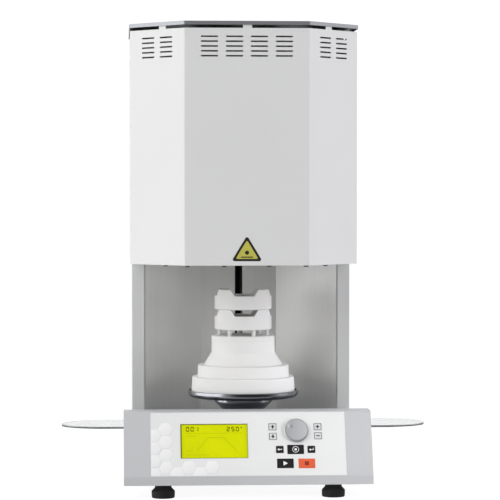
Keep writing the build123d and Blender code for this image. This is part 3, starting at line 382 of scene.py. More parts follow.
def transformer_iron():
    """Varnished laminations stacked along x."""
    m = Material("transformer_iron")
    sheets = m.node("TexWave", {"Scale": 1.0, "Distortion": 0.4, "Vector": m.scaled(330.0)},
                    bands_direction="X").outputs["Fac"]
    m.principled(color=m.mix(sheets, (0.035, 0.028, 0.022), (0.11, 0.10, 0.09)),
                 rough=0.45, metal=0.35,
                 normal=m.bump(sheets, strength=0.35, distance=0.0004))


def display_green():
    """Backlit field with a fine dot grid."""
    m = Material("display_green")
    dots = m.node("TexChecker", {"Scale": 1.0, "Vector": m.scaled(1600.0)}).outputs["Fac"]
    cloud = m.remap(m.noise(scale=22.0), span=(0.35, 0.7))
    field = m.mix(cloud, linear(206, 211, 0), linear(213, 217, 0))
    field = m.mix(m.mul(dots, 0.05), field, linear(150, 155, 0))
    m.principled(color=field, rough=0.5, emit=field, emit_s=0.24, spec=0.02)


LCD_INKS = [  # name, noise scale, detail, dark colour, pale colour, roughness, emission
    ("lcd_ink", 900.0, 2, linear(78, 84, 4), linear(92, 98, 6), 0.5, 0.1),
    ("lcd_edge", 500.0, 3, linear(96, 104, 20), linear(120, 128, 24), 0.4, 0.06),
    ("lcd_faint", 900.0, 2, linear(172, 178, 2), linear(182, 188, 4), 0.4, 0.24),
]


def lcd_inks():
    for name, scale, detail, dark, pale, rough, emission in LCD_INKS:
        m = Material(name)
        ink = m.mix(m.noise(scale=scale, detail=detail), dark, pale)
        m.principled(color=ink, rough=rough, emit=ink, emit_s=emission, spec=0.02)
    # the unlit ink
    m = Material("lcd_dim")
    ink = m.mix(m.noise(scale=900.0), linear(150, 158, 8), linear(168, 176, 8))
    m.principled(color=ink, rough=0.4, spec=0.05)


def window_clear():
    """Clear lens: see-through with a trace of gloss."""
    m = Material("window_clear")
    clear = m.node("BsdfTransparent", {0: (0.985, 0.99, 0.965)})
    gloss = m.node("BsdfGlossy", {
        "Roughness": m.remap(m.noise(scale=40.0, detail=4), span=(0.3, 0.7), to=(0.03, 0.07)),
        "Normal": m.bump(m.noise(scale=60.0), strength=0.01, distance=0.0002)})
    gloss_share = 0.03
    m.surface(m.mix_shader(gloss_share, clear.outputs[0], gloss.outputs[0]))


def shelf_glass():
    """Satin clear plate whose side faces carry a painted shade, dark and slightly green, strongest
    on their lower part.
    """
    m = Material("shelf_glass")
    # painted shade: the side faces, mostly on their lower part, are coloured dark and let less
    # light through
    normal_z = m.axes(m.node("NewGeometry").outputs["True Normal"])[2]
    side = m.math("LESS_THAN", m.math("ABSOLUTE", normal_z), 0.5)
    low = m.remap(m.axes(m.coords)[2], span=(0.0950, 0.0962), to=(1.0, 0.25), smooth=True)
    rim = m.mul(side, low)
    clear = m.mix(m.noise(scale=9.0, detail=3), (0.955, 0.965, 0.962), (0.968, 0.976, 0.973))
    cloud = m.noise(scale=26.0, detail=5, rough=0.6)
    m.principled(
        color=m.mix(rim, clear, (0.05, 0.058, 0.055)), ior=1.38,
        rough=m.remap(cloud, span=(0.3, 0.7), to=(0.04, 0.10)),
        trans=m.math("SUBTRACT", 0.97, m.mul(rim, 0.9)),
        normal=m.bump(m.noise(scale=1500.0), strength=0.03, distance=0.0001))
    # light passes the thin plate on its way to what lies under it
    rays = m.node("LightPath").outputs
    passing = m.either(rays["Is Shadow Ray"], rays["Is Diffuse Ray"])
    through = m.node("BsdfTransparent", {0: (0.93, 0.945, 0.94)})
    m.surface(m.mix_shader(passing, m.bsdf.outputs[0], through.outputs[0]))


def dial_silver():
    """Pearl silver lacquer, darkened by the painted light and shade held in the vertex shade."""
    m = Material("dial_silver")
    flake = m.voronoi(2600.0)
    silver = m.mix(m.remap(flake, span=(0.1, 0.6)), (0.74, 0.745, 0.77), (0.80, 0.805, 0.83))
    cloud = m.noise(scale=55.0, detail=4, rough=0.6)
    # painted light and shade: the vertex shade mixes the silver towards near black
    m.principled(
        color=m.mix(m.vertex_shade(), (0.03, 0.03, 0.04), silver), metal=0.40,
        rough=m.remap(cloud, span=(0.3, 0.7), to=(0.33, 0.39)), coat=0.2, coat_rough=0.22,
        normal=m.bump(flake, strength=0.012, distance=0.0001))


def print_shade():
    """Grey print of the membrane, driven by the vertex shade."""
    m = Material("print_shade")
    cloud = m.noise(scale=60.0, detail=4)
    m.principled(
        color=m.mix(m.vertex_shade(), (0.45, 0.46, 0.475), (0.93, 0.93, 0.93)),
        rough=m.remap(cloud, span=(0.3, 0.7), to=(0.33, 0.42)), coat=0.08,
        normal=m.bump(m.voronoi(2400.0), strength=0.08, distance=0.00015))


for build in (dish_steel, insulation_white, board_green, transformer_iron, display_green,
              lcd_inks, window_clear, shelf_glass, dial_silver, print_shade):
    build()

# every CAD piece takes the material of its slot, apart from these two
SPECIAL = {"panel_screws": "screw_head", "deck_plate": "deck_steel"}
SLOT = {part["node"]: part["material_slot"] for part in frame["record"]["subparts"]}
for node_name, part in frame["nodes"].items():
    part.data.materials.clear()
    part.data.materials.append(MATERIALS[SPECIAL.get(node_name, SLOT[node_name])])


# ------------------------------------------------------------------ mesh helpers
def piece(name, verts, faces, material, body, smooth=0, replaces=None, shade=None):
    """Mesh object riding on a body; smooth is the sharp-edge angle in degrees, 0 for flat."""
    mesh = bpy.data.meshes.new(name)
    mesh.from_pydata([tuple(v) for v in verts], [], [tuple(f) for f in faces])
    mesh.validate()
    bm = bmesh.new()
    bm.from_mesh(mesh)
    bmesh.ops.recalc_face_normals(bm, faces=bm.faces)
    bm.to_mesh(mesh)
    bm.free()
    mesh.update()
    if smooth:
        mesh.polygons.foreach_set("use_smooth", [True] * len(mesh.polygons))
        mesh.set_sharp_from_angle(angle=math.radians(smooth))
    if shade is not None:
        mesh.attributes.new("shade", "FLOAT", "POINT").data.foreach_set("value", shade)
    obj = bpy.data.objects.new(name, mesh)
    scene.collection.objects.link(obj)
    mesh.materials.append(MATERIALS[material])
    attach(obj, body)
    if replaces:
        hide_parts(replaces)


def circle(radius, seg, phase=0.0):
    """Points round the origin; a radius of 0 gives a single point."""
    if radius < 1e-6:
        return [(0.0, 0.0)]
    angles = [2 * math.pi * (i + phase) / seg for i in range(seg)]
    return [(radius * math.cos(a), radius * math.sin(a)) for a in angles]


def skin(rows, verts, faces, closed=False):
    """Append rows of points and join each to the next; a row of one point is a tip."""
    rings = []
    for row in rows:
        rings.append(range(len(verts), len(verts) + len(row)))
        verts.extend(row)
    pairs = list(zip(rings, rings[1:]))
    if closed:
        pairs.append((rings[-1], rings[0]))
    for p, q in pairs:
        seg = max(len(p), len(q))
        for i in range(seg):
            j = (i + 1) % seg
            if len(p) == 1:
                faces.append((p[0], q[j], q[i]))
            elif len(q) == 1:
                faces.append((p[i], p[j], q[0]))
            else:
                faces.append((p[i], p[j], q[j], q[i]))


def prism(loops, verts, faces, flip=False):
    """Stacked loops of equal length with a cap at each end."""
    n = len(loops[0])
    first = len(verts)
    last = first + n * (len(loops) - 1)
    step = 1 if flip else -1
    faces.append(tuple(range(first, first + n))[::step])
    skin(loops, verts, faces)
    faces.append(tuple(range(last, last + n))[::-step])


def revolve(profile, x, y, seg, verts, faces, closed=False):
    """Turn a profile of (radius, z) about an upright axis at x, y; all in mm."""
    rows = [[((x + dx) * MM, (y + dy) * MM, z * MM) for dx, dy in circle(radius, seg)]
            for radius, z in profile]
    skin(rows, verts, faces, closed)


def corner_arc(before, corner, after, radius, steps):
    """Arc that rounds one corner of an outline."""
    corner = Vector(corner)
    a = Vector(before) - corner
    b = Vector(after) - corner
    length_a, length_b = a.length, b.length
    a.normalize()
    b.normalize()
    half = a.angle(b) / 2
    # the arc takes at most 49% of either side
    setback = min(radius / math.tan(half), length_a * 0.49, length_b * 0.49)
    radius = setback * math.tan(half)
    centre = corner + (a + b).normalized() * (radius / math.sin(half))
    start = corner + a * setback - centre
    end = corner + b * setback - centre
    angle = math.atan2(start.y, start.x)
    turn = (math.atan2(end.y, end.x) - angle + math.pi) % (2 * math.pi) - math.pi
    angles = [angle + turn * k / steps for k in range(steps + 1)]
    return [(centre.x + radius * math.cos(w), centre.y + radius * math.sin(w)) for w in angles]


def rounded(points, steps):
    """Open outline from (radius, z) or (radius, z, corner radius) points."""
    out = []
    for i, point in enumerate(points):
        if i in (0, len(points) - 1) or len(point) < 3:
            out.append(point[:2])
        else:
            out += corner_arc(points[i - 1][:2], point[:2], points[i + 1][:2], point[2], steps)
    return out


# ------------------------------------------------------------------ console slope
# y and z of the slope's lower and upper end, mm
SLOPE_Y0, SLOPE_Z0 = -203.3, 32.9
SLOPE_Y1, SLOPE_Z1 = -158.4, 125.4
RUN, RISE = SLOPE_Y1 - SLOPE_Y0, SLOPE_Z1 - SLOPE_Z0
SLOPE_LENGTH = math.hypot(RUN, RISE)
UP_SLOPE = Vector((0, RUN / SLOPE_LENGTH, RISE / SLOPE_LENGTH))
OUTWARD = Vector((0, -RISE / SLOPE_LENGTH, RUN / SLOPE_LENGTH))


def on_slope(x, s, d):
    """x across, s up the slope from its lower end, d outwards, in mm; result in metres."""
    return (Vector((x, SLOPE_Y0, SLOPE_Z0)) + UP_SLOPE * s + OUTWARD * d) * MM


def slope_loop(outline, d):
    return [on_slope(x, s, d) for x, s in outline]


def plate(name, outlines, low, high, material, body):
    """Thin plates on the slope between two heights; outlines hold (x, s) points."""
    verts, faces = [], []
    for outline in outlines:
        prism([slope_loop(outline, low), slope_loop(outline, high)], verts, faces)
    piece(name, verts, faces, material, body)


def hollow_plate(name, outer, inner, low, high, material, body):
    """A line on the slope between two outlines of equal count."""
    verts, faces = [], []
    rows = [slope_loop(outer, low), slope_loop(outer, high),
            slope_loop(inner, high), slope_loop(inner, low)]
    skin(rows, verts, faces, closed=True)
    piece(name, verts, faces, material, body)


def shifted(outline, x, s):
    return [(x + dx, s + ds) for dx, ds in outline]


def rect(x0, s0, x1, s1):
    return [(x0, s0), (x1, s0), (x1, s1), (x0, s1)]


def round_rect(x, s, width, height, radius, steps=4):
    out = []
    for side_x, side_s, start in ((1, 1, 0), (-1, 1, 90), (-1, -1, 180), (1, -1, 270)):
        for k in range(steps + 1):
            a = math.radians(start + 90 * k / steps)
            out.append((x + side_x * (width / 2 - radius) + radius * math.cos(a),
                        s + side_s * (height / 2 - radius) + radius * math.sin(a)))
    return out


# ------------------------------------------------------------------ round pieces of the lift
# heights of the stacked pieces, mm
PLUG_Z = 139.8
STEP_Z = 168.8
CONE_Z = 187.1
CAP_Z = 224.5
CAP_TOP_Z = 232.5
TRAY_Z = 242.1
TRAY_HEIGHT = 31.25
CAP_RADIUS = 49.0

DISH = [  # radius, z, corner radius
    (0, 130.0), (45.2, 130.0, 0.8), (45.2, 137.0, 0.5), (81.4, 137.0, 2.5), (85.2, 140.2, 2.5),
    (86.3, 143.0, 2.0), (86.3, 148.0, 1.4), (83.3, 148.0, 1.4), (83.3, 142.6, 1.5),
    (80.6, 139.6, 2.0), (0, 139.6)]
PLUG_PIECES = [  # name, CAD node, outline of (radius, z, corner radius)
    ("plug_ring_low", "plug_base_ring", [
        (0, PLUG_Z), (80.0, PLUG_Z, 0.6), (80.0, 150.0), (78.9, STEP_Z, 2.0), (0, STEP_Z)]),
    ("plug_ring_mid", "plug_step_ring", [
        (0, STEP_Z), (71.0, STEP_Z, 0.5), (70.4, CONE_Z, 1.8), (0, CONE_Z)]),
    ("plug_cone_body", "plug_cone", [
        (0, CONE_Z), (60.9, CONE_Z, 0.5), (49.2, 206.3, 2.5), (CAP_RADIUS, CAP_Z, 0.4),
        (0, CAP_Z)]),
    ("plug_cap", "plug_top_disc", [
        (0, CAP_Z), (CAP_RADIUS, CAP_Z, 0.5), (CAP_RADIUS, CAP_TOP_Z, 2.2), (0, CAP_TOP_Z)]),
]


def load_piece(name, node, outline, material, corner_steps, smooth):
    verts, faces = [], []
    revolve(rounded(outline, corner_steps), 0, LOAD_Y, 224, verts, faces)
    piece(name, verts, faces, material, LIFT, smooth, replaces=node)


def posts():
    """Six pins on a circle between the plug and the lower tray."""
    circle_radius = 36.7
    pin_radius, pin_foot = 3.1, 228.6
    profile = rounded([(0, pin_foot), (pin_radius, pin_foot, 0.3), (pin_radius, TRAY_Z, 0.7),
                       (0, TRAY_Z)], 5)
    verts, faces = [], []
    for degrees in (-7.1, 46, 97, 172.9, 232.9, 292.9):
        a = math.radians(degrees)
        x, y = circle_radius * math.cos(a), LOAD_Y + circle_radius * math.sin(a)
        revolve(profile, x, y, 32, verts, faces)
    piece("posts", verts, faces, "tray_ceramic", LIFT, 40,
          replaces="tray_posts")


# cup outer and inner radius, mm
CUP, BORE = 44.25, 44.25 - 3.6
# radius, what the height is measured by, value:
# base = mm above the underside, rim = mm below the rim, wall = share of the way up the wall
TRAY_STATIONS = [
    (0, "base", 0), (20, "base", 0), (CUP - 1.6, "base", 0), (CUP - 1.25, "base", 0.08),
    (CUP - 0.12, "base", 1.15), (CUP, "base", 1.6), (CUP, "base", 8.0),
    (CUP, "wall", 0.35), (CUP, "wall", 0.7),
    (CUP, "rim", 1.0), (CUP - 0.09, "rim", 0.55), (CUP - 0.35, "rim", 0.2),
    (CUP - 0.8, "rim", 0.0), ((CUP + BORE) / 2, "rim", 0.0), (BORE + 0.8, "rim", 0.0),
    (BORE + 0.35, "rim", 0.2), (BORE + 0.09, "rim", 0.55), (BORE, "rim", 1.0),
    (BORE, "wall", 0.6), (BORE, "base", 8.0), (BORE, "base", 6.4), (BORE - 0.6, "base", 5.0),
    (BORE - 2.2, "base", 4.05), (BORE - 3.5, "base", 4.0), (18, "base", 4.0), (0, "base", 4.0)]


def notch_depth(offset):
    """Depth of a tapered notch at a sideways offset from its middle, with soft corners."""
    # half widths at the bottom and at the rim, and depth, mm
    half_bottom, half_top, depth = 14.6, 21.2, 9.8
    blend = 0.09

    def overlap(a, b):
        h = max(blend - abs(a - b), 0.0) / blend
        return h * h * blend * 0.25

    t = (half_top - abs(offset)) / (half_top - half_bottom)
    t = min(t, 1.0) - overlap(t, 1.0)
    return depth * (max(0.0, t) + overlap(0.0, t))


def tray(name, node, base, body):
    """Cup with four notches in its rim, facing -x, +x, -y and +y."""
    wall_foot, rim_round = 8.0, 1.0
    rows = []
    for radius, measure, value in TRAY_STATIONS:
        row = []
        for x, y in circle(radius, 384, phase=0.5):
            if measure == "base":
                z = base + value
            else:
                rim = base + TRAY_HEIGHT - notch_depth(x if abs(y) > abs(x) else y)
                if measure == "rim":
                    z = rim - value
                else:
                    z = base + wall_foot + (rim - rim_round - base - wall_foot) * value
            row.append((x * MM, (y + LOAD_Y) * MM, z * MM))
        rows.append(row)
    verts, faces = [], []
    skin(rows, verts, faces)
    piece(name, verts, faces, "tray_ceramic", body, 50, replaces=node)


load_piece("dish", "lift_dish", DISH, "dish_steel", corner_steps=8, smooth=35)
for name, node, outline in PLUG_PIECES:
    load_piece(name, node, outline, "plug_ceramic", corner_steps=7, smooth=40)
posts()
tray("tray_cup_low", "lower_tray", TRAY_Z, "tray_low")
tray("tray_cup_high", "upper_tray", TRAY_Z + TRAY_HEIGHT, "tray_up")

# ------------------------------------------------------------------ dial
DIAL_X, DIAL_S = 72.7, 71.2
DIAL_RADIUS, DIAL_HEIGHT = 18.5, 4.3
FACE_RADIUS = DIAL_RADIUS - 3.0
FACE_RINGS = 40
FACE_SAG = 0.95
# finger dimple: centre from the dial's axis, radius and depth
DIMPLE_X, DIMPLE_S, DIMPLE_RADIUS, DIMPLE_DEPTH = -8.8, 7.7, 5.0, 1.5


def dial_shade(radius, x, y):
    """Painted light and shade: a face paler towards +x, a painted shade in the groove under the
    rim, a rim with a painted highlight at -x and painted shade towards the lower right, and a
    dimple with a painted highlight on one side and painted shade on the other.
    """
    angle = math.atan2(y, x)

    def towards(degrees):
        return math.cos(angle - math.radians(degrees))

    # painted light: the face is paler towards +x
    face = 0.9
    if radius < 16.4:
        face = 0.86 + 0.13 * min(1.0, radius / 15.0) * towards(10)
    # painted shade in the groove under the rim
    groove = math.exp(-((radius - 16.9) / 0.75) ** 2) * (0.26 + 0.34 * (1 - towards(75)) / 2)
    # painted highlight on the rim at -x, painted shade towards the lower right
    rim = 0.0
    if radius > 17.4:
        rim = 0.10 * max(0.0, towards(195)) - 0.40 * max(0.0, towards(-70))
    # painted highlight and painted shade on the two sides of the dimple
    bowl = 0.0
    q = math.hypot(x - DIMPLE_X, y - DIMPLE_S) / DIMPLE_RADIUS
    if q < 1.2:
        t = ((x - DIMPLE_X) - (y - DIMPLE_S) * 0.5) / DIMPLE_RADIUS
        bowl = (0.22 if t < 0 else -0.42) * min(1.0, abs(t) * 1.8) * min(1.0, 1.6 * (1.2 - q))
    return max(0.0, min(1.0, face - groove + rim + bowl))


def dial_height(radius, x, y, z):
    """The top is dished inside its raised rim and carries the dimple."""
    if z <= DIAL_HEIGHT - 0.7:
        return z
    q = math.hypot(x - DIMPLE_X, y - DIMPLE_S) / DIMPLE_RADIUS
    if q < 1.25:
        t = max(0.0, 1 - q * q)
        z -= DIMPLE_DEPTH * (1 - math.cos(math.pi * t)) / 2
    return z - FACE_SAG * (1 - (min(radius, FACE_RADIUS) / FACE_RADIUS) ** 2)


def dial():
    profile = rounded([  # radius, height off the slope, corner radius
        (0, -10.0), (3.0, -10.0, 0.4), (3.0, 0.3), (DIAL_RADIUS, 0.3, 0.5),
        (DIAL_RADIUS, DIAL_HEIGHT, 1.9), (FACE_RADIUS, DIAL_HEIGHT)], 8)
    profile += [(FACE_RADIUS - i * FACE_RADIUS / FACE_RINGS, DIAL_HEIGHT)
                for i in range(1, FACE_RINGS + 1)]
    rows, shade = [], []
    for radius, z in profile:
        points = circle(radius, 192)
        shade += [dial_shade(radius, x, y) for x, y in points]
        rows.append([on_slope(DIAL_X + x, DIAL_S + y, dial_height(radius, x, y, z))
                     for x, y in points])
    verts, faces = [], []
    skin(rows, verts, faces)
    piece("dial", verts, faces, "dial_silver", "dial", 60,
          replaces="dial_knob", shade=shade)


dial()


# ------------------------------------------------------------------ rubber feet
def feet():
    """Four feet, each with a recess below and a neck with a through hole above."""
    foot_x, foot_ys = 127.3, (-185.7, 158.0)
    profile = [(2.1, 19.8), (2.1, 15.8)] + rounded([  # radius, z, corner radius
        (5.0, 15.8), (5.0, 0.0, 0.6), (16.8, 0.0, 1.0), (17.4, 4.0), (17.4, 10.2, 1.2),
        (13.0, 14.6, 1.2), (12.4, 16.4, 1.0), (12.4, 19.8)], 6)
    verts, faces = [], []
    for side in (-1, 1):
        for y in foot_ys:
            revolve(profile, side * foot_x, y, 96, verts, faces, closed=True)
    piece("feet", verts, faces, "foot_rubber", CABINET, 40,
          replaces="rubber_feet")


feet()

# ------------------------------------------------------------------ key prints
KEY_CENTRES = {  # x, s
    "key_up": (37.1, 77.7), "key_down": (37.2, 62.5), "key_plus": (104.9, 77.5),
    "key_minus": (105.1, 63.1), "key_back": (47.0, 41.8), "key_select": (70.7, 41.7),
    "key_enter": (94.3, 41.7), "key_start": (54.7, 19.9), "key_stop": (86.8, 19.7)}
LINED_KEYS = {  # width and height of the keys with a printed outline
    "key_up": (12.0, 11.4), "key_down": (12.0, 11.4),
    "key_plus": (11.8, 11.2), "key_minus": (11.8, 11.2)}
# inset of the outline over both sides, and its width
LINE_INSET, LINE_WIDTH = 0.7, 0.75
# heights of the print off the slope
KEY_PRINT_LOW, KEY_PRINT_HIGH = 0.395, 0.46

ARROW_UP = [(0, 3.1), (-2.9, -0.2), (-1.1, -0.2), (-1.1, -2.9), (1.1, -2.9), (1.1, -0.2),
            (2.9, -0.2)]
PLUS = [(-0.8, 2.8), (0.8, 2.8), (0.8, 0.8), (2.8, 0.8), (2.8, -0.8), (0.8, -0.8),
        (0.8, -2.8), (-0.8, -2.8), (-0.8, -0.8), (-2.8, -0.8), (-2.8, 0.8), (-0.8, 0.8)]
MINUS = [(-2.7, 0.75), (2.7, 0.75), (2.7, -0.75), (-2.7, -0.75)]
BACK = [(-3.6, 0), (-1.0, 2.3), (-1.0, 0.65), (3.4, 0.65), (3.4, -0.65), (-1.0, -0.65),
        (-1.0, -2.3)]
ENTER = [(-3.6, -0.6), (-1.2, 1.5), (-1.2, 0.0), (2.3, 0.0), (2.3, 2.4), (3.4, 2.4),
         (3.4, -1.2), (-1.2, -1.2), (-1.2, -2.7)]
TRIANGLE = [(-3.0, 3.6), (3.8, 0), (-3.0, -3.6)]
SQUARE = [(-3.1, 3.1), (3.1, 3.1), (3.1, -3.1), (-3.1, -3.1)]
KEY_MARKS = [  # key, outline about the key's centre, ink
    ("key_up", ARROW_UP, "ink_black"), ("key_down", [(x, -s) for x, s in ARROW_UP], "ink_black"),
    ("key_plus", PLUS, "ink_black"), ("key_minus", MINUS, "ink_black"),
    ("key_back", BACK, "ink_white"), ("key_enter", ENTER, "ink_white"),
    ("key_select", circle(2.0, 24), "ink_white"),
    ("key_start", TRIANGLE, "ink_white"), ("key_stop", SQUARE, "ink_red"),
]


def key_prints():
    for key, (width, height) in LINED_KEYS.items():
        width -= LINE_INSET
        height -= LINE_INSET
        outer = round_rect(*KEY_CENTRES[key], width, height, radius=0.6)
        inner = round_rect(*KEY_CENTRES[key], width - 2 * LINE_WIDTH, height - 2 * LINE_WIDTH,
                           radius=0.1)
        hollow_plate(key + "_line", outer, inner, KEY_PRINT_LOW, KEY_PRINT_HIGH,
                     "key_line", "body_" + key)
    for key, outline, ink in KEY_MARKS:
        centre = KEY_CENTRES[key]
        if key == "key_select":
            hollow_plate("key_select_ring", shifted(circle(5.0, 48), *centre),
                         shifted(circle(4.1, 48), *centre), KEY_PRINT_LOW, KEY_PRINT_HIGH,
                         ink, "body_key_select")
        plate(key + "_mark", [shifted(outline, *centre)], KEY_PRINT_LOW, KEY_PRINT_HIGH,
              ink, "body_" + key)


key_prints()

# ------------------------------------------------------------------ display print
# Two numbers, a trapezoid curve and dashes, sunk below the slope.
# Edges of the lit field, as x and s
LEFT, BOTTOM, RIGHT, TOP = -101.4, 28.6, -0.4, 83.3
LCD_LOW = -2.56
DIGIT_STROKES = {"0": "abcdef", "1": "bc", "2": "abged", "5": "afgcd"}
# size, stroke and pitch of a digit
DIGIT_WIDTH, DIGIT_HEIGHT, DIGIT_STROKE, DIGIT_PITCH = 4.9, 7.4, 1.35, 6.9
NUMBER_S = BOTTOM + 43.2
DASH_ROWS = [  # count, pitch, height above the field's bottom, dash length, thickness
    (5, 3.0, 36.0, 1.8, 1.2), (4, 2.6, 12.6, 1.6, 1.1), (13, 2.6, 6.4, 1.6, 1.1)]


def digit(character, x, s):
    """Seven-stroke digit: a top, b and c right, d bottom, e and f left, g middle."""
    w, h, t = DIGIT_WIDTH, DIGIT_HEIGHT, DIGIT_STROKE
    flat = (w - 1.2 * t, t)
    upright = (t, h / 2 - t * 0.9)
    strokes = {
        "a": (x + t * 0.6, s + h - t, *flat),
        "g": (x + t * 0.6, s + h / 2 - t / 2, *flat),
        "d": (x + t * 0.6, s, *flat),
        "f": (x, s + h / 2 + t * 0.3, *upright),
        "b": (x + w - t, s + h / 2 + t * 0.3, *upright),
        "e": (x, s + t * 0.6, *upright),
        "c": (x + w - t, s + t * 0.6, *upright)}
    out = []
    for letter in DIGIT_STROKES[character]:
        x0, s0, width, height = strokes[letter]
        out.append(rect(x0, s0, x0 + width, s0 + height))
    return out


def stroke(x0, s0, x1, s1, width):
    """Straight line between two points given from the field's lower left corner."""
    x0, s0, x1, s1 = LEFT + x0, BOTTOM + s0, LEFT + x1, BOTTOM + s1
    along = Vector((x1 - x0, s1 - s0))
    along.normalize()
    side = Vector((-along.y, along.x)) * width / 2
    return [(x0 + side.x, s0 + side.y), (x1 + side.x, s1 + side.y),
            (x1 - side.x, s1 - side.y), (x0 - side.x, s0 - side.y)]


def display_prints():
    def lcd_plate(name, outlines, high, material):
        plate(name, outlines, LCD_LOW, high, material, CABINET)

    numbers = []
    for text, start in (("001", 8.5), ("250", 69.5)):
        for i, character in enumerate(text):
            numbers += digit(character, LEFT + start + DIGIT_PITCH * i, NUMBER_S)
    # degree dot
    numbers.append(shifted(circle(1.1, 12), LEFT + 91.6, BOTTOM + 49.3))
    lcd_plate("lcd_marks", numbers, -2.47, "lcd_ink")

    faint = [stroke(24.5, 12.5, 41, 33.5, 0.8), stroke(41, 33.5, 65, 33.5, 0.8),
             stroke(65, 33.5, 84, 12.5, 0.8), stroke(7, 40.6, 93, 40.6, 0.5)]
    for count, pitch, height, length, width in DASH_ROWS:
        for i in range(count):
            x = 9.5 + pitch * i
            faint.append(stroke(x, height, x + length, height, width))
    lcd_plate("lcd_faint_marks", faint, -2.48, "lcd_faint")

    # border of the lit field: wide to the left and below, narrow above and to the right
    left, bottom, right, top = LEFT + 1.9, BOTTOM + 1.7, RIGHT - 0.6, TOP - 0.7
    border = [rect(LEFT, BOTTOM, left, TOP), rect(left, BOTTOM, RIGHT, bottom),
              rect(left, top, RIGHT, TOP), rect(right, bottom, RIGHT, top)]
    lcd_plate("lcd_border", border, -2.44, "lcd_edge")


display_prints()

# ------------------------------------------------------------------ membrane print
# Pale six-sided tiles with soft shading. Edges of the printed area, as x and s:
PRINT_LEFT, PRINT_BOTTOM, PRINT_TOP = -145.6, 1.6, 100.6
TILE_PITCH_RADIUS = 11.5
TILE_RADIUS = TILE_PITCH_RADIUS - 0.35
FIRST_TILE_X, FIRST_TILE_S = -141.0, 5.0
TILE_DARK, TILE_PALE = 0.82, 1.0
SHADOW_REACH, SHADOW_DARK, SHADOW_PALE = 2.6, 0.50, 0.93


def clip(polygon):
    """Cut a polygon of (x, s, shade) corners to the printed area."""
    # axis, limit, side that is kept
    for axis, limit, keep in ((0, PRINT_LEFT, 1), (1, PRINT_BOTTOM, 1), (1, PRINT_TOP, -1)):
        out = []
        for i, a in enumerate(polygon):
            b = polygon[(i + 1) % len(polygon)]
            a_in = a[axis] * keep >= limit * keep
            b_in = b[axis] * keep >= limit * keep
            if a_in:
                out.append(a)
            if a_in != b_in:
                t = (limit - a[axis]) / (b[axis] - a[axis])
                out.append(tuple(a[k] + (b[k] - a[k]) * t for k in range(3)))
        polygon = out
    return polygon


def membrane_print():
    verts, faces, shade = [], [], []

    def fan(corners, layer):
        """Flat polygon with a shade per corner; higher layers lie slightly above lower ones."""
        corners = clip(corners)
        n = len(corners)
        if n < 3:
            return
        first = len(verts)
        middle = tuple(sum(corner[k] for corner in corners) / n for k in range(3))
        for x, s, value in corners + [middle]:
            verts.append(on_slope(x, s, 0.012 + 0.006 * layer))
            shade.append(value)
        for i in range(n):
            faces.append((first + i, first + (i + 1) % n, first + n))

    def tile(x, s, layer):
        corners = shifted(circle(TILE_RADIUS, 6), x, s)
        # soft shadow towards +x and down the slope
        shift_x, shift_s = SHADOW_REACH * 0.9, -SHADOW_REACH * 0.75
        for i, a in enumerate(corners):
            b = corners[(i + 1) % 6]
            middle_x, middle_s = (a[0] + b[0]) / 2 - x, (a[1] + b[1]) / 2 - s
            if middle_x * 0.7 - middle_s * 0.7 > 0.2 * TILE_RADIUS:
                fan([(*a, SHADOW_DARK), (*b, SHADOW_DARK),
                     (b[0] + shift_x, b[1] + shift_s, SHADOW_PALE),
                     (a[0] + shift_x, a[1] + shift_s, SHADOW_PALE)], layer)
        shaded = []
        for cx, cs in corners:
            t = 0.5 + 0.5 * ((cx - x) * 0.6 - (cs - s) * 0.8) / TILE_RADIUS
            shaded.append((cx, cs, TILE_PALE + (TILE_DARK - TILE_PALE) * t))
        fan(shaded, layer + 1)

    # a regular honeycomb kept clear of the display
    pitch = TILE_PITCH_RADIUS
    for k in range(6):
        for j in range(5):
            x = FIRST_TILE_X + 1.5 * pitch * k
            s = FIRST_TILE_S + math.sqrt(3.0) * pitch * (j + 0.5 * (k % 2))
            meets_display = x + pitch > LEFT - 1.0 and s + 0.87 * pitch > BOTTOM - 1.0
            if not meets_display and s <= 80.0:
                tile(x, s, layer=2 * ((k + 2 * j) % 3))
    piece("membrane_print", verts, faces, "print_shade", CABINET,
          shade=shade)


membrane_print()

# ------------------------------------------------------------------ three-sided badge on the hood
HOOD_FRONT_Y = -147.0
BADGE_CORNERS = [(0.0, 389.6), (-23.4, 351.1), (23.4, 351.1)]  # x, z
BADGE_INRADIUS = 11.9


def badge_outline(radius, inset):
    """The badge triangle moved inwards, with rounded corners."""
    middle_x = sum(x for x, z in BADGE_CORNERS) / 3
    middle_z = sum(z for x, z in BADGE_CORNERS) / 3
    k = (BADGE_INRADIUS - inset) / BADGE_INRADIUS
    corners = [(middle_x + (x - middle_x) * k, middle_z + (z - middle_z) * k)
               for x, z in BADGE_CORNERS]
    out = []
    for i in range(3):
        out += corner_arc(corners[i - 1], corners[i], corners[(i + 1) % 3], radius, 6)
    return out


def badge_slab(name, outline, back, front, material, bevel=0.02):
    """Slab facing -y; back and front are distances before the hood."""
    back_y, front_y = HOOD_FRONT_Y - back, HOOD_FRONT_Y - front
    middle_x = sum(x for x, z in outline) / len(outline)
    middle_z = sum(z for x, z in outline) / len(outline)
    shrunk = [(x + (middle_x - x) * 0.006, z + (middle_z - z) * 0.006) for x, z in outline]
    levels = ((outline, back_y), (outline, front_y + bevel), (shrunk, front_y))
    loops = [[(x * MM, y * MM, z * MM) for x, z in loop] for loop, y in levels]
    verts, faces = [], []
    prism(loops, verts, faces, flip=True)
    piece(name, verts, faces, material, CABINET)


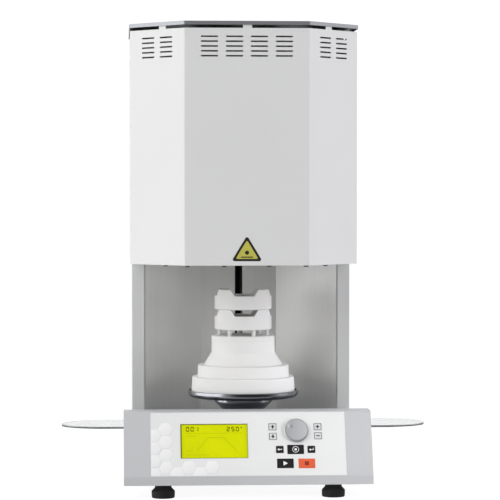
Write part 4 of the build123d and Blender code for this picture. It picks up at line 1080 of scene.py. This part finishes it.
badge_slab("badge_border", badge_outline(radius=2.6, inset=0.0), -0.02, 0.32, "ink_black",
           bevel=0.05)
badge_slab("badge_field", badge_outline(radius=1.6, inset=3.1), 0.30, 0.40, "badge_yellow")
badge_slab("badge_dot", shifted(circle(3.1, 36), 0.0, 363.9), 0.39, 0.46, "ink_black")
badge_slab("badge_bar", rect(-9.0, 356.3, 9.0, 358.0), 0.39, 0.46, "ink_black")


# ------------------------------------------------------------------ floor
def floor_white():
    m = Material("floor_white")
    rays = m.node("LightPath").outputs

    def glowing(colour, strength):
        diffuse = m.node("BsdfDiffuse", {"Color": colour})
        glow = m.node("Emission", {"Strength": strength})
        return m.node("AddShader", {0: diffuse.outputs[0], 1: glow.outputs[0]}).outputs[0]

    # what the camera sees: almost pure white, with soft contact shadows near the object
    distance = m.node("VectorMath", {0: m.coords}, operation="LENGTH").outputs["Value"]
    far = m.node("Emission", {"Strength": 1.02}).outputs[0]
    seen = m.mix_shader(m.remap(distance, span=(0.30, 0.75), smooth=True),
                        glowing((0.24, 0.24, 0.245), strength=0.90), far)
    # what the object receives from it
    bounce = glowing((0.55, 0.55, 0.55), strength=0.22)
    direct = m.either(rays["Is Camera Ray"], rays["Is Transmission Ray"])
    shader = m.mix_shader(direct, bounce, seen)
    # mirror-like surfaces look through it to the dim room
    clear = m.node("BsdfTransparent").outputs[0]
    m.surface(m.mix_shader(rays["Is Glossy Ray"], shader, clear))


def floor():
    """Flat disc of a fan and three rings."""
    seg = 64
    verts = [(0, 0, 0)]
    for radius in (0.6, 1.5, 4.0, 30.0):
        verts += [(x, y, 0) for x, y in circle(radius, seg)]
    faces = [(0, 1 + i, 1 + (i + 1) % seg) for i in range(seg)]
    for k in range(3):
        near, far = 1 + k * seg, 1 + (k + 1) * seg
        for i in range(seg):
            j = (i + 1) % seg
            faces.append((near + i, far + i, far + j, near + j))
    mesh = bpy.data.meshes.new("floor")
    mesh.from_pydata(verts, [], faces)
    mesh.materials.append(MATERIALS["floor_white"])
    obj = bpy.data.objects.new("floor", mesh)
    scene.collection.objects.link(obj)


floor_white()
floor()

# ------------------------------------------------------------------ world
# Zones of the room: how they act, direction, cosine span over which they set in, strengths.
# Diffuse light: large soft boxes at -x and +x, and a dim area towards -y.
DIFFUSE_BASE = 0.58
DIFFUSE_ZONES = [
    ("ADD", (-0.90, -0.35, 0.25), (0.62, 0.95), (0.0, 1.78)),
    ("ADD", (0.93, -0.28, 0.22), (0.66, 0.96), (0.0, 1.7)),
    ("MULTIPLY", (0.04, -1, 0.02), (0.45, 0.95), (1.0, 0.10)),
]
# Mirror light: a narrower box at -x, weak boxes at +x and +y, dim towards -y and above it.
MIRROR_BASE = 0.46
MIRROR_ZONES = [
    ("ADD", (-1.0, -0.12, 0.10), (0.72, 0.90), (0.0, 1.1)),
    ("ADD", (1.0, -0.02, 0.06), (0.93, 0.985), (0.0, 0.45)),
    ("ADD", (0, 1, 0.12), (0.80, 0.98), (0.0, 0.5)),
    ("MULTIPLY", (0.28, -1, 0.02), (0.50, 0.90), (1.0, 0.16)),
    ("MULTIPLY", (0.0, -0.75, 0.66), (0.55, 0.95), (1.0, 0.25)),
]


def studio():
    world = bpy.data.worlds.new("studio")
    scene.world = world
    world.use_nodes = True
    g = Graph(world.node_tree)
    coords = g.node("TexCoord").outputs["Generated"]

    def zone(direction, span, to=(0.0, 1.0)):
        facing = g.vector("DOT_PRODUCT", coords, Vector(direction).normalized())
        return g.remap(facing, span, to, smooth=True)

    def combine(operation, a, b):
        return g.node("Math", {0: a, 1: b}, operation=operation).outputs[0]

    def background(strength, colour=(0.985, 0.99, 1.0)):
        return g.node("Background", {"Color": colour, "Strength": strength})

    ceiling = zone((0, 0, 1), span=(-0.2, 1.0), to=(0.0, 0.1))

    def room(base, zones):
        strength = combine("ADD", ceiling, base)
        for operation, direction, span, to in zones:
            strength = combine(operation, strength, zone(direction, span, to))
        return background(strength)

    diffuse = room(DIFFUSE_BASE, DIFFUSE_ZONES)
    mirror = room(MIRROR_BASE, MIRROR_ZONES)
    white = background(1.02, colour=(1.0, 1.0, 1.0))
    # slight colour drift: cool ahead, neutral at -x, a touch of violet at +x
    tint = g.mix(zone((-1, -0.3, 0.1), span=(0.35, 0.85)), (0.965, 0.972, 1.0), (1.0, 1.004, 0.975))
    tint = g.mix(zone((1, -0.3, 0.1), span=(0.35, 0.85)), tint, (0.985, 0.968, 1.005))
    g.put(diffuse.inputs["Color"], tint)

    rays = g.node("LightPath").outputs
    light = g.mix_shader(rays["Is Glossy Ray"], diffuse.outputs[0], mirror.outputs[0])
    direct = g.either(rays["Is Camera Ray"], rays["Is Transmission Ray"])
    g.node("OutputWorld", {0: g.mix_shader(direct, light, white.outputs[0])})


studio()


# ------------------------------------------------------------------ lights and camera
def area(name, location, target, size, power):
    """Rectangular lamp aimed at a target; size in metres, power in watts."""
    light = bpy.data.lights.new(name, "AREA")
    light.shape = "RECTANGLE"
    light.size, light.size_y = size
    light.energy = power
    obj = bpy.data.objects.new(name, light)
    obj.location = location
    aim = Vector(target) - Vector(location)
    obj.rotation_euler = aim.to_track_quat("-Z", "Y").to_euler()
    scene.collection.objects.link(obj)
    return obj


area("key_light", location=(-2.3, -1.6, 1.7), target=(0, 0, 0.35), size=(1.2, 1.2), power=7)
area("fill_light", location=(1.9, -1.5, 1.9), target=(0, 0, 0.3), size=(0.9, 0.9), power=2)
low_light = area("low_light", location=(0.62, -0.60, 0.05), target=(0.13, -0.17, 0.07),
                 size=(0.30, 0.20), power=0.115)
low_light.data.spread = math.radians(38)
low_light.visible_glossy = False

camera_data = bpy.data.cameras.new("camera")
camera_data.lens = 160.5
camera_data.sensor_width = 36.0
camera_data.clip_start = 0.05
camera_data.clip_end = 100.0
camera = bpy.data.objects.new("camera", camera_data)
camera.location = (-0.1906, -3.5002, 0.4629)
camera.rotation_euler = (math.radians(88.38), 0, math.radians(-3.33))
scene.collection.objects.link(camera)
scene.camera = camera
scene.view_settings.view_transform = "Standard"

bpy.context.view_layer.update()
